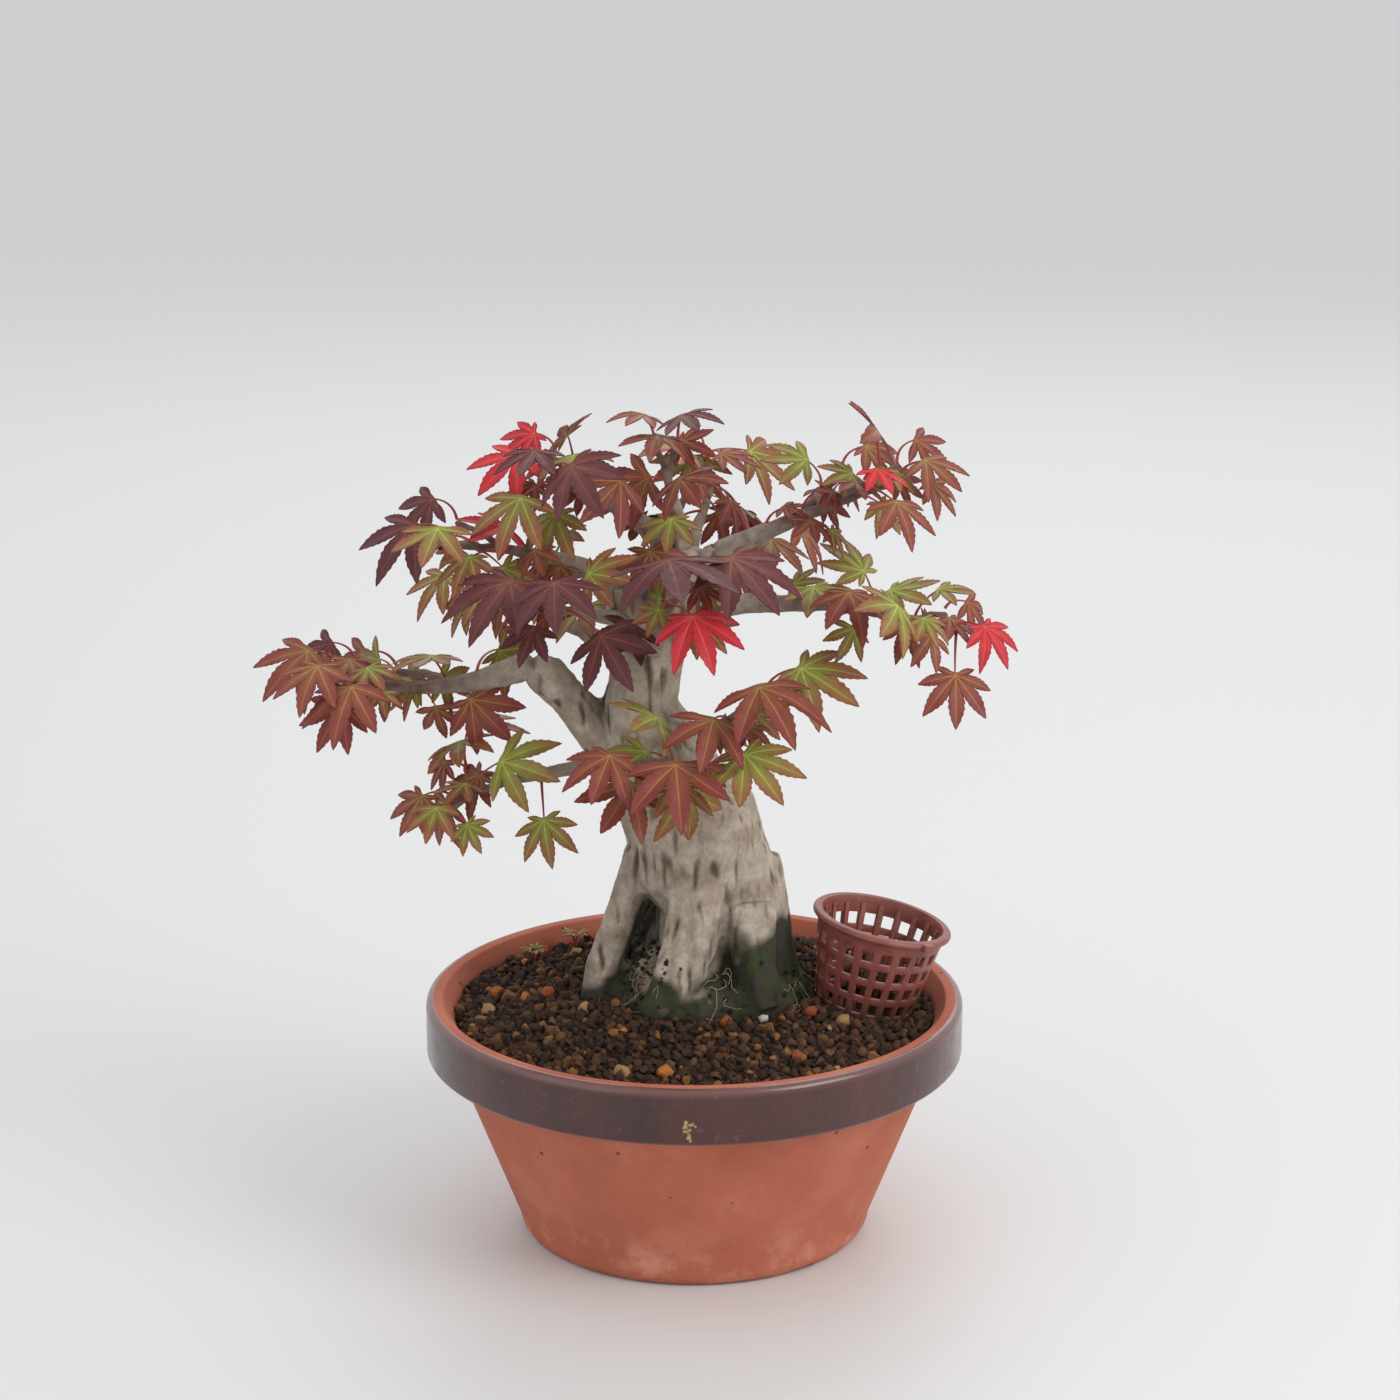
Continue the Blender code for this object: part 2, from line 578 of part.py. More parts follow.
def leaf_points(hub, ahead, across, up, size):
    """The leaf's outline round its hub, from one side of the stalk to the other."""
    polar = [(-170, 0.10), (-128, 0.26)]
    for i, (angle, length) in enumerate(LOBES):
        spread = math.degrees(math.atan2(LOBE_HALF_WIDTH, LOBE_SHOULDER))
        shoulder = math.hypot(LOBE_HALF_WIDTH, LOBE_SHOULDER) * length
        polar += [(angle - spread, shoulder), (angle, length), (angle + spread, shoulder)]
        if i < len(LOBES) - 1:
            polar.append(((angle + LOBES[i + 1][0]) / 2, SINUS_DEPTH))
    polar += [(128, 0.26), (170, 0.10)]
    outline = []
    for angle, length in polar:
        a = math.radians(angle)
        flat = length * (math.cos(a) * ahead + math.sin(a) * across)
        outline.append(hub + size * (flat - LEAF_DROOP * length**2 * up))
    return outline


def leaf_mesh(foot, hub, ahead, across, up, size, grow=0.0):
    """A thin closed leaf: the blade as a fan about the hub, and its stalk as a square rod down to the foot."""
    bm = bmesh.new()
    half = (LEAF_THICKNESS / 2 + grow) * up
    outline = leaf_points(hub, ahead, across, up, size + grow)
    top = [bm.verts.new(p + half) for p in outline]
    low = [bm.verts.new(p - half) for p in outline]
    hub_top, hub_low = bm.verts.new(hub + half), bm.verts.new(hub - half)
    for i in range(len(outline) - 1):
        bm.faces.new((hub_top, top[i], top[i + 1]))
        bm.faces.new((hub_low, low[i + 1], low[i]))
        bm.faces.new((low[i], low[i + 1], top[i + 1], top[i]))
    bm.faces.new((hub_top, top[-1], top[0]))
    bm.faces.new((hub_low, low[0], low[-1]))
    start = (outline[0] + outline[-1]) / 2
    bend = start + (foot - start) * 0.45 - 0.25 * size * ahead
    ring = [low[0], low[-1], top[-1], top[0]]
    for k in range(1, STALK_STEPS + 1):
        t = k / STALK_STEPS
        middle = (1 - t) ** 2 * start + 2 * t * (1 - t) * bend + t**2 * foot
        along = (2 * (1 - t) * (bend - start) + 2 * t * (foot - bend)).normalized()
        side = (across - across.dot(along) * along).normalized() * (STALK_WIDTH / 2 + grow)
        lift = along.cross(side).normalized() * (-0.4 * STALK_WIDTH - grow)
        corners = [middle - side - lift, middle + side - lift, middle + side + lift, middle - side + lift]
        following = [bm.verts.new(c) for c in corners]
        for j in range(4):
            bm.faces.new((ring[j - 1], ring[j], following[j], following[j - 1]))
        ring = following
    bm.faces.new(ring)
    bmesh.ops.triangulate(bm, faces=bm.faces)
    bmesh.ops.recalc_face_normals(bm, faces=bm.faces)
    return bm


def solid_tree(solid):
    """A search tree over a solid's faces in the pot axis's space."""
    bm = bmesh.new()
    bm.from_mesh(solid.data)
    bm.transform(Matrix.LocRotScale(solid.location, solid.rotation_euler, None))
    found = BVHTree.FromBMesh(bm)
    bm.free()
    return found


def crosses_itself(bm):
    """Whether two faces of a mesh that share no point run into each other."""
    bm.faces.ensure_lookup_table()
    tree = BVHTree.FromBMesh(bm)
    pairs = [(bm.faces[a], bm.faces[b]) for a, b in tree.overlap(tree) if a < b]
    return any(not set(one.verts) & set(other.verts) for one, other in pairs)


def leaf_seats():
    """The colour, hub and tip of a leaf at every stem's end, held out and hanging towards the light."""
    for plan in BRANCHES.values():
        for k, stem in enumerate(branch_stems(plan)):
            end = Vector(stem[-1][:3])
            out = (end - Vector(stem[-2][:3])).normalized()
            size = plan.leaf * (1 - LEAF_SHRINK * (k % 3))
            hub = end + LEAF_REACH * size * (out + Vector((0, 0, 0.5))).normalized()
            hang = (out + Vector((LEAF_FACING.x, LEAF_FACING.y, -LEAF_FACING.z))).normalized()
            yield plan.colours[k % len(plan.colours)], hub, hub + size * hang


def place_leaf(name, hub_at, tip_at, finish, wood, placed):
    """Grows a leaf from the nearest wood behind it, and turns it about its foot until it touches nothing."""
    hub, tip = tree_point(*hub_at), tree_point(*tip_at)
    size = (tip - hub).length
    ahead = (tip - hub).normalized()
    outward = Vector((hub.x, hub.y, 0)).normalized()
    up = LEAF_FACING + 0.4 * outward
    up = (up - up.dot(ahead) * ahead).normalized()
    behind = hub - 0.5 * size * ahead - 0.1 * size * up
    at, normal, _, _ = wood.find_nearest(behind)
    foot = at + normal * (2 * GAP + STALK_WIDTH / 2)
    for _ in range(LEAF_LIFTS):  # the blade is lifted where its own stalk would run through it
        trial = leaf_mesh(foot, hub, ahead, up.cross(ahead), up, size, grow=2 * GAP)
        crossed = crosses_itself(trial)
        trial.free()
        if not crossed:
            break
        hub += 0.05 * size * up
    stalk = (hub - foot).normalized()
    side = stalk.orthogonal().normalized()
    for step in range(240):
        lean = Matrix.Rotation(math.radians(2.5) * ((step + 7) // 8), 3,
                               Matrix.Rotation(math.tau * step / 8, 3, stalk) @ side)
        turned_hub = foot + lean @ (hub - foot)
        axes = (lean @ ahead, lean @ up.cross(ahead), lean @ up)
        trial = leaf_mesh(foot, turned_hub, *axes, size, grow=GAP)
        tree = BVHTree.FromBMesh(trial)
        trial.free()
        if not any(tree.overlap(other) for other in placed):
            break
    leaf = piece(name, leaf_mesh(foot, turned_hub, *axes, size), finish)
    placed.append(solid_tree(leaf))
    return leaf


def make_leaves(finishes, wood_pieces, others):
    """The larger leaves, each a node of its own."""
    joined = bmesh.new()
    for solid in wood_pieces:
        joined.from_mesh(solid.data)
    wood = BVHTree.FromBMesh(joined)
    joined.free()
    placed = [wood] + [solid_tree(solid) for solid in others]
    count = Counter()
    for colour, hub, tip in leaf_seats():
        count[colour] += 1
        place_leaf(f"{colour}_leaf_{count[colour]}", hub, tip, finishes[colour], wood, placed)


def main():
    for old in list(bpy.data.objects):
        bpy.data.objects.remove(old)
    axis = bpy.data.objects.new("pot_axis", None)
    axis.location = (POT_AXIS_X, 0, 0)
    bpy.context.scene.collection.objects.link(axis)

    clay = material("clay", (0.55, 0.16, 0.07), 0.75)
    glaze = material("glaze", (0.05, 0.012, 0.010), 0.18)
    plastic = material("brown_plastic", (0.16, 0.05, 0.035), 0.42)
    black_net = material("black_net", (0.02, 0.02, 0.02), 0.5)
    grit = material("coarse_grit", (0.30, 0.24, 0.17), 0.9)
    earth = material("soil_grains", (0.055, 0.035, 0.022), 0.95)
    bark = material("bark", (0.42, 0.35, 0.28), 0.8)
    finishes = {
        "maroon": material("maroon_blade", (0.11, 0.025, 0.022), 0.5),
        "russet": material("russet_blade", (0.20, 0.045, 0.022), 0.5),
        "scarlet": material("scarlet_blade", (0.55, 0.04, 0.035), 0.5),
        "green": material("green_blade", (0.17, 0.24, 0.03), 0.5),
    }

    pot = make_pot(clay, glaze)
    make_drain_net(black_net)
    make_drainage_layer(grit)
    basket = make_feed_basket(plastic)
    trunk = make_trunk(bark)
    soil = make_soil(earth, trunk)
    branches = make_branches(bark, trunk)
    make_leaves(finishes, [trunk] + branches, [pot, soil, basket])


main()
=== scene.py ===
"""Looks for a maple bonsai in a round clay training pot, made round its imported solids. Lengths are metres."""

import math
import random

import bmesh
import bpy
import numpy as np
from mathutils import Matrix, Vector, noise
from mathutils.bvhtree import BVHTree


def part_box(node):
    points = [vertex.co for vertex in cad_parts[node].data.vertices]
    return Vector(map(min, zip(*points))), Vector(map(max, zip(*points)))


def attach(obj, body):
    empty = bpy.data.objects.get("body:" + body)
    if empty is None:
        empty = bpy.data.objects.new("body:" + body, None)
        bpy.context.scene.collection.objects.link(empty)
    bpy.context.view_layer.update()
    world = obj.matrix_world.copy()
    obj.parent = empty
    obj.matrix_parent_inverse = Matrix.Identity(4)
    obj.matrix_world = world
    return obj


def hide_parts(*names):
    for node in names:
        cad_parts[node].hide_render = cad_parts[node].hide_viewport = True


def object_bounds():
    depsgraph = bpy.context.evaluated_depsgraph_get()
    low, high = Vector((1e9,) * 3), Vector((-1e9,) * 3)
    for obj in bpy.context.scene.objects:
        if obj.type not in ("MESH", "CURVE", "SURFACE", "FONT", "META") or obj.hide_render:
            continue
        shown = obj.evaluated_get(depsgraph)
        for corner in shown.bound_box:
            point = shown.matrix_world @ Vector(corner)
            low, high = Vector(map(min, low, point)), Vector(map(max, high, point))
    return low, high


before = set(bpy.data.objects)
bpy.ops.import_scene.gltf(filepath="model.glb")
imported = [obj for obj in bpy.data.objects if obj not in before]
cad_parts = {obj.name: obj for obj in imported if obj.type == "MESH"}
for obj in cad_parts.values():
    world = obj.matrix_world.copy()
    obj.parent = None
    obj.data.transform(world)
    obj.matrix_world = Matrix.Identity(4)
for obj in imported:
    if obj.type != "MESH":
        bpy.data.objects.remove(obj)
cad_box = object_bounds()

# --- camera, light and floor ---
# The tree is seen from its front, a little from above, at the height of its middle branches. It stands on a
# plain pale floor in soft daylight that comes mostly from the right, as from a window.

pot_low, pot_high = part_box("pot")
pot_x = (pot_low.x + pot_high.x) / 2
view_distance = 1.150
view_pitch = math.radians(15.3)
view_centre = Vector((pot_x + 0.0019, 0, 0.1828))
bpy.ops.object.camera_add(
    location=view_centre + view_distance * Vector((0, -math.cos(view_pitch), math.sin(view_pitch))),
    rotation=(math.pi / 2 - view_pitch, 0, 0),
)
camera = bpy.context.object
camera.name = "front_camera"
camera.data.sensor_width = 36
camera.data.lens = 90
camera.data.clip_start = 0.01
bpy.context.scene.camera = camera


def soft_light(name, place, aim, size, power, tint):
    """A square area light that points from its place to its aim."""
    bpy.ops.object.light_add(type="AREA", location=place)
    lamp = bpy.context.object
    lamp.name = name
    lamp.rotation_euler = (Vector(aim) - Vector(place)).to_track_quat("-Z", "Y").to_euler()
    lamp.data.size = size
    lamp.data.energy = power
    lamp.data.color = tint


soft_light("window", (1.15, -0.75, 1.05), (0, 0, 0.12), 0.9, 11.5, (1.0, 0.985, 0.96))
soft_light("room_fill", (-1.2, -1.0, 0.8), (0, 0, 0.12), 1.4, 3.2, (0.94, 0.97, 1.0))
soft_light("back_glow", (0.2, 1.3, 1.2), (0, 0, 0.15), 1.2, 5.5, (0.97, 0.98, 1.0))
world = bpy.data.worlds.new("pale_room")
world.use_nodes = True
world.node_tree.nodes["Background"].inputs["Color"].default_value = (0.88, 0.90, 0.92, 1)
world.node_tree.nodes["Background"].inputs["Strength"].default_value = 0.98
bpy.context.scene.world = world
bpy.context.scene.view_settings.view_transform = "Standard"

bpy.ops.mesh.primitive_plane_add(size=60, location=(0, 0, 0))
floor = bpy.context.object
floor.name = "floor"
floor_finish = bpy.data.materials.new("pale_floor")
floor_finish.use_nodes = True
floor_finish.node_tree.nodes["Principled BSDF"].inputs["Base Color"].default_value = (0.66, 0.65, 0.64, 1)
floor_finish.node_tree.nodes["Principled BSDF"].inputs["Roughness"].default_value = 0.55
floor.data.materials.append(floor_finish)

# --- pot ---
# A shallow round training pot, pressed from red clay and fired once. Only the raised band under its lip is
# glazed, dark brown-red and glossy; the lip and the body stay bare. Its foot ring has three notches that let
# water out.

rim_radius = (pot_high.x - pot_low.x) / 2
pot_height = pot_high.z
wall = 0.006
floor_top = 0.008
body_radius = rim_radius - 0.0085
base_radius = 0.0595
foot_radius = 0.055
foot_rise = 0.0058
foot_ring = 0.010
recess = 0.002
drain_radius = 0.013
band_foot = pot_height - 0.0186
lip_round = 0.0024
lip_width = 0.0036
lip_fall = 0.005
lip_slope = 0.003


def show_only(piece):
    """Deselects everything, then selects one object and makes it the active one."""
    bpy.ops.object.select_all(action="DESELECT")
    piece.select_set(True)
    bpy.context.view_layer.objects.active = piece


def apply_all(piece):
    """Applies every modifier of a piece, top to bottom."""
    show_only(piece)
    for step in list(piece.modifiers):
        bpy.ops.object.modifier_apply(modifier=step.name)


def settle(piece):
    """Puts a piece's place, turn and size into its mesh."""
    show_only(piece)
    bpy.ops.object.transform_apply(location=True, rotation=True, scale=True)


def arc(radius, height, round_by, start, end, parts):
    """Points (radius, height) along an arc of an outline; angles are in degrees from straight outwards."""
    turns = [math.radians(start + (end - start) * k / parts) for k in range(parts + 1)]
    return [(radius + round_by * math.cos(a), height + round_by * math.sin(a)) for a in turns]


def turned(name, outline, steps):
    """Draws a circle out ring by ring along an outline of (radius, height), round the Z axis."""
    bpy.ops.object.select_all(action="DESELECT")
    bpy.ops.mesh.primitive_circle_add(vertices=steps, radius=outline[0][0], location=(0, 0, 0))
    piece = bpy.context.object
    piece.name = name
    bpy.ops.object.mode_set(mode="EDIT")
    bpy.ops.mesh.select_all(action="SELECT")
    bpy.ops.transform.translate(value=(0, 0, outline[0][1]))
    for (r0, z0), (r1, z1) in zip(outline, outline[1:]):
        bpy.ops.mesh.extrude_region()
        bpy.ops.transform.resize(value=(r1 / r0, r1 / r0, 1), center_override=(0, 0, 0))
        bpy.ops.transform.translate(value=(0, 0, z1 - z0))
    bpy.ops.mesh.select_all(action="SELECT")
    bpy.ops.mesh.remove_doubles(threshold=0.00001)
    bpy.ops.mesh.normals_make_consistent(inside=False)
    bpy.ops.object.mode_set(mode="OBJECT")
    return piece


def body_at(z):
    """The body's outer radius at a height."""
    return base_radius + (body_radius - base_radius) * (z - foot_rise) / (band_foot - foot_rise)


foot_turns = [math.radians(a) for a in range(15, 91, 15)]
foot_curve = [
    (foot_radius + (base_radius - foot_radius) * math.sin(a), foot_rise * (1 - math.cos(a)))
    for a in foot_turns
]
lip_edge = rim_radius - lip_round - lip_width
outline = (
    arc(drain_radius + 0.001, recess + 0.001, 0.001, 180, 270, 3)
    + [(foot_radius - foot_ring - recess, recess)]
    + arc(foot_radius - foot_ring + 0.0008, 0.0006, 0.0006, 200, 270, 2)
    + arc(foot_radius - 0.0006, 0.0006, 0.0006, 270, 330, 2)
    + foot_curve
    + [(body_at(z), z) for z in (0.012, 0.020, 0.030, 0.040, 0.050, band_foot - 0.002)]
    + arc(body_at(band_foot) + 0.0012, band_foot - 0.0012, 0.0012, 180, 90, 3)
    + arc(rim_radius - 0.0014, band_foot + 0.0014, 0.0014, 270, 360, 4)
    + [(rim_radius, band_foot + 0.005), (rim_radius, pot_height - 0.006)]
    + arc(rim_radius - lip_round, pot_height - lip_round, lip_round, 0, 90, 6)
    + [(rim_radius - lip_round - 0.5 * lip_width, pot_height)]
    + arc(lip_edge + 0.0008, pot_height - 0.0008, 0.0008, 90, 165, 3)
    + arc(lip_edge - lip_slope + 0.0006, pot_height - lip_fall, 0.0006, 165, 180, 1)
    + [(body_at(z) - wall, z) for z in (band_foot, 0.045, 0.028)]
    + arc(body_at(floor_top) - wall - 0.0034, floor_top + 0.0034, 0.0034, 0, -90, 4)
    + arc(drain_radius + 0.0008, floor_top - 0.0008, 0.0008, 90, 180, 2)
)
pot = turned("clay_pot", outline + outline[:1], 176)
pot.location.x = pot_x
settle(pot)

notch_count = 3
first_notch = -52  # degrees from +X
for k in range(notch_count):
    turn = math.radians(360 / notch_count * k + first_notch)
    bpy.ops.object.select_all(action="DESELECT")
    bpy.ops.mesh.primitive_cube_add(
        size=1, location=(pot_x + foot_radius * math.cos(turn), foot_radius * math.sin(turn), 0),
        rotation=(0, 0, turn), scale=(0.030, 0.011, 2 * recess - 0.0006),
    )
    notch = bpy.context.object
    notch.modifiers.new("soft_edge", "BEVEL").width = 0.0008
    apply_all(notch)
    cut = pot.modifiers.new("notch", "BOOLEAN")
    cut.operation = "DIFFERENCE"
    cut.object = notch
    apply_all(pot)
    bpy.data.objects.remove(notch)


def new_finish(name, roughness, **sockets):
    """A material with a Principled shader, its plain values set."""
    made = bpy.data.materials.new(name)
    made.use_nodes = True
    shader = made.node_tree.nodes["Principled BSDF"]
    shader.inputs["Roughness"].default_value = roughness
    for socket, value in sockets.items():
        shader.inputs[socket.replace("_", " ")].default_value = value
    return made


def add_node(finish, kind, inputs=None, **settings):
    """A new shader node; inputs are values, or outputs of other nodes to link."""
    made = finish.node_tree.nodes.new("ShaderNode" + kind)
    for name, value in settings.items():
        setattr(made, name, value)
    for socket, value in (inputs or {}).items():
        if isinstance(value, bpy.types.NodeSocket):
            finish.node_tree.links.new(value, made.inputs[socket])
        else:
            made.inputs[socket].default_value = value
    return made


def speckle(finish, scale, detail=3, rough=0.55, stretch=None, distort=0.0):
    """Noise on the piece's own coordinates, cells per metre, as a number from 0 to 1."""
    place = add_node(finish, "TexCoord").outputs["Object"]
    if stretch:
        place = add_node(finish, "Mapping", {"Vector": place, "Scale": stretch}).outputs["Vector"]
    made = add_node(finish, "TexNoise", {
        "Vector": place, "Scale": scale, "Detail": detail, "Roughness": rough, "Distortion": distort,
    })
    return made.outputs["Fac"]


def ramp(finish, amount, *stops):
    """A colour, or a grey when a stop is one number, picked by an amount from 0 to 1."""
    made = add_node(finish, "ValToRGB", {"Fac": amount})
    bar = made.color_ramp.elements
    while len(bar) < len(stops):
        bar.new(0.5)
    for mark, (at, shade) in zip(bar, stops):
        mark.position = at
        mark.color = (*shade, 1) if isinstance(shade, tuple) else (shade, shade, shade, 1)
    return made.outputs["Color"]


def srgb(red, green, blue):
    """A colour from its everyday 0-255 values to the linear ones that materials take."""
    return tuple(((v / 255 + 0.055) / 1.055) ** 2.4 if v > 10 else v / 3295 for v in (red, green, blue))


def blend_colours(finish, amount, under, over, kind="MIX"):
    """One colour over another by an amount; each is a link or a plain colour."""
    made = add_node(finish, "Mix", data_type="RGBA", blend_type=kind)
    for socket, value in (("Factor", amount), ("A", under), ("B", over)):
        end = [i for i in made.inputs if i.name == socket and i.enabled][0]
        if isinstance(value, bpy.types.NodeSocket):
            finish.node_tree.links.new(value, end)
        else:
            end.default_value = (*value, 1) if isinstance(value, tuple) else value
    return [o for o in made.outputs if o.enabled][0]


def wear(finish, colour, roughness=None, relief=None, depth=0.0002):
    """Gives the shader its colour, and if given its roughness and its relief as a bump."""
    shader = finish.node_tree.nodes["Principled BSDF"]
    link = finish.node_tree.links.new
    link(colour, shader.inputs["Base Color"])
    if roughness:
        link(roughness, shader.inputs["Roughness"])
    if relief:
        raised = add_node(finish, "Bump", {"Height": relief, "Distance": depth, "Strength": 1.0})
        link(raised.outputs["Normal"], shader.inputs["Normal"])


def height_of(finish):
    """The height over the floor in metres, on a piece whose place is in its mesh."""
    place = add_node(finish, "TexCoord").outputs["Object"]
    return add_node(finish, "SeparateXYZ", {"Vector": place}).outputs["Z"]


def between(finish, value, low, high, low_gives=0.0, high_gives=1.0):
    """A number mapped from one range to another, and held at its ends."""
    return add_node(finish, "MapRange", {
        "Value": value, "From Min": low, "From Max": high, "To Min": low_gives, "To Max": high_gives,
    }).outputs["Result"]


def maths(finish, operation, first, second):
    """One sum on two numbers, each a value or an output of another node."""
    made = add_node(finish, "Math", operation=operation)
    for socket, value in zip(made.inputs, (first, second)):
        if isinstance(value, bpy.types.NodeSocket):
            finish.node_tree.links.new(value, socket)
        else:
            socket.default_value = value
    return made.outputs["Value"]


clay = new_finish("bare_clay", 0.78, Specular_IOR_Level=0.3)
clay_tone = ramp(
    clay, speckle(clay, 26, 4, 0.6),
    (0.30, srgb(164, 90, 68)), (0.52, srgb(178, 101, 78)), (0.74, srgb(190, 116, 92)),
)
grit = speckle(clay, 1300, 2, 0.6)
clay_tone = blend_colours(clay, ramp(clay, grit, (0.66, 0.0), (0.74, 0.75)), clay_tone, srgb(122, 62, 46))
bloom = maths(
    clay, "MULTIPLY", between(clay, height_of(clay), 0.004, 0.026, 0.8, 0.0),
    ramp(clay, speckle(clay, 55, 5, 0.65), (0.50, 0.0), (0.72, 1.0)),
)
clay_tone = blend_colours(clay, bloom, clay_tone, srgb(214, 158, 134))
spots = add_node(clay, "TexVoronoi", {
    "Vector": add_node(clay, "TexCoord").outputs["Object"], "Scale": 62.0, "Randomness": 1.0,
}).outputs["Distance"]
clay_tone = blend_colours(clay, ramp(clay, spots, (0.035, 0.9), (0.062, 0.0)), clay_tone, srgb(88, 48, 36))
wear(
    clay, clay_tone, ramp(clay, grit, (0.3, 0.70), (0.7, 0.86)),
    blend_colours(clay, 0.5, speckle(clay, 900, 3), speckle(clay, 170, 2)), 0.00012,
)

glaze = new_finish("brown_glaze", 0.22, Coat_Weight=0.35, Coat_Roughness=0.12)
runs = speckle(glaze, 60, 4, 0.6, stretch=(1.0, 1.0, 0.25))
glaze_tone = ramp(glaze, runs, (0.32, srgb(54, 24, 23)), (0.60, srgb(70, 31, 29)), (0.82, srgb(86, 42, 38)))
# Painted sheen: the glaze is paler over the lip's rounded top; it is also paler in a strip at the band's foot.
painted_lip_sheen_and_pale_foot = maths(
    glaze, "ADD", between(glaze, height_of(glaze), pot_height - 0.0030, pot_height - 0.0006),
    between(glaze, height_of(glaze), band_foot + 0.0012, band_foot + 0.0002, 0.0, 0.8),
)
glaze_tone = blend_colours(glaze, painted_lip_sheen_and_pale_foot, glaze_tone, srgb(104, 66, 62))
dust = ramp(glaze, speckle(glaze, 420, 4, 0.7), (0.60, 0.0), (0.72, 0.6))
glaze_tone = blend_colours(glaze, dust, glaze_tone, srgb(112, 78, 68))
wear(
    glaze, glaze_tone, ramp(glaze, speckle(glaze, 140, 5), (0.35, 0.17), (0.75, 0.40)),
    speckle(glaze, 300, 3), 0.00010,
)

pot.data.materials.clear()
pot.data.materials.append(clay)
pot.data.materials.append(glaze)
for face in pot.data.polygons:
    across = math.hypot(face.center.x - pot_x, face.center.y)
    face.material_index = int(across > rim_radius - lip_round - 0.0001 and face.center.z > band_foot + 0.0001)
show_only(pot)
bpy.ops.object.shade_smooth_by_angle(angle=math.radians(40))
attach(pot, "root")
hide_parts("pot")

# --- crust on the glaze ---
# A few grains of lime and clay dust. They splashed on the front of the band when the tree was watered, and
# dried there.


def grain_shape(seed, corners=18):
    """A lump of stone: the hull of points scattered on a ball, as corner points and triangles."""
    draw = random.Random(seed)
    lump = bmesh.new()
    for _ in range(corners):
        away = Vector([draw.gauss(0, 1) for _ in range(3)]).normalized()
        lump.verts.new(away * draw.uniform(0.82, 1.08))
    made = bmesh.ops.convex_hull(lump, input=lump.verts[:])
    bmesh.ops.delete(lump, geom=list(set(made["geom_interior"] + made["geom_unused"])), context="VERTS")
    bmesh.ops.triangulate(lump, faces=lump.faces[:])
    lump.verts.index_update()
    shape = (
        np.array([v.co[:] for v in lump.verts]),
        np.array([[v.index for v in f.verts] for f in lump.faces]),
    )
    lump.free()
    return shape


grain_shapes = [grain_shape(seed) for seed in range(6)]


def strewn(name, grains, finish, seed):
    """One mesh of many grains, each given as (place, radius, colour); the colour goes into an attribute."""
    draw = random.Random(seed)
    points, faces, tints, start = [], [], [], 0
    for place, radius, colour in grains:
        corners, sides = draw.choice(grain_shapes)
        size = Matrix.Diagonal([radius * draw.uniform(0.75, 1.2) for _ in range(3)])
        angle = draw.uniform(0, math.tau)
        axis = Vector([draw.gauss(0, 1) for _ in range(3)]).normalized()
        turn = Matrix.Rotation(angle, 3, axis)
        points.append(corners @ np.array(turn @ size).T + np.array(place))
        faces.append(sides + start)
        tints.append(np.tile((*colour, 1.0), (len(corners), 1)))
        start += len(corners)
    mesh = bpy.data.meshes.new(name)
    mesh.from_pydata(np.concatenate(points).tolist(), [], np.concatenate(faces).tolist())
    tint = mesh.attributes.new("grain_tint", "FLOAT_COLOR", "POINT")
    tint.data.foreach_set("color", np.concatenate(tints).ravel())
    mesh.materials.append(finish)
    piece = bpy.data.objects.new(name, mesh)
    bpy.context.scene.collection.objects.link(piece)
    show_only(piece)
    bpy.ops.object.shade_smooth_by_angle(angle=math.radians(55))
    return piece


def tinted(finish, attribute, scale, depth, spread=0.35):
    """Colours a finish from an attribute, mottled and roughened by noise of so many cells per metre."""
    tone = add_node(finish, "Attribute", attribute_name=attribute).outputs["Color"]
    mottle = ramp(finish, speckle(finish, scale, 5, 0.65), (0.3, 1.0 - spread), (0.7, 1.0))
    wear(
        finish, blend_colours(finish, 1.0, tone, mottle, "MULTIPLY"),
        ramp(finish, speckle(finish, 0.6 * scale, 3), (0.3, 0.78), (0.7, 0.98)),
        speckle(finish, 2 * scale, 4, 0.7), depth,
    )


grain_finish = new_finish("baked_clay_grains", 0.9, Specular_IOR_Level=0.25)
tinted(grain_finish, "grain_tint", 900, 0.0003)
splash = random.Random(4)
crust_bearing, crust_spread = -91.2, 0.9  # degrees from +X
crust_grains = []
for _ in range(14):
    bearing = math.radians(crust_bearing + splash.gauss(0, crust_spread))
    place = Vector((pot_x + rim_radius * math.cos(bearing), rim_radius * math.sin(bearing), band_foot))
    place.z += 0.0045 + splash.uniform(-0.0028, 0.0040)
    crust_grains.append((place, splash.uniform(0.0005, 0.0010), srgb(190, 160, 112)))
crust = strewn("dried_crust", crust_grains, grain_finish, 5)
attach(crust, "root")

# --- drain net, grit and soil ---
# A square of black plastic net keeps the soil off the drain hole, under a layer of coarse pumice. The soil
# over it is baked-clay grains, sieved to a few millimetres, dark and damp, mounded up by hand to the roots.


def refinish(node, finish):
    """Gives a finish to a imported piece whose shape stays."""
    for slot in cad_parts[node].material_slots:
        slot.material = finish


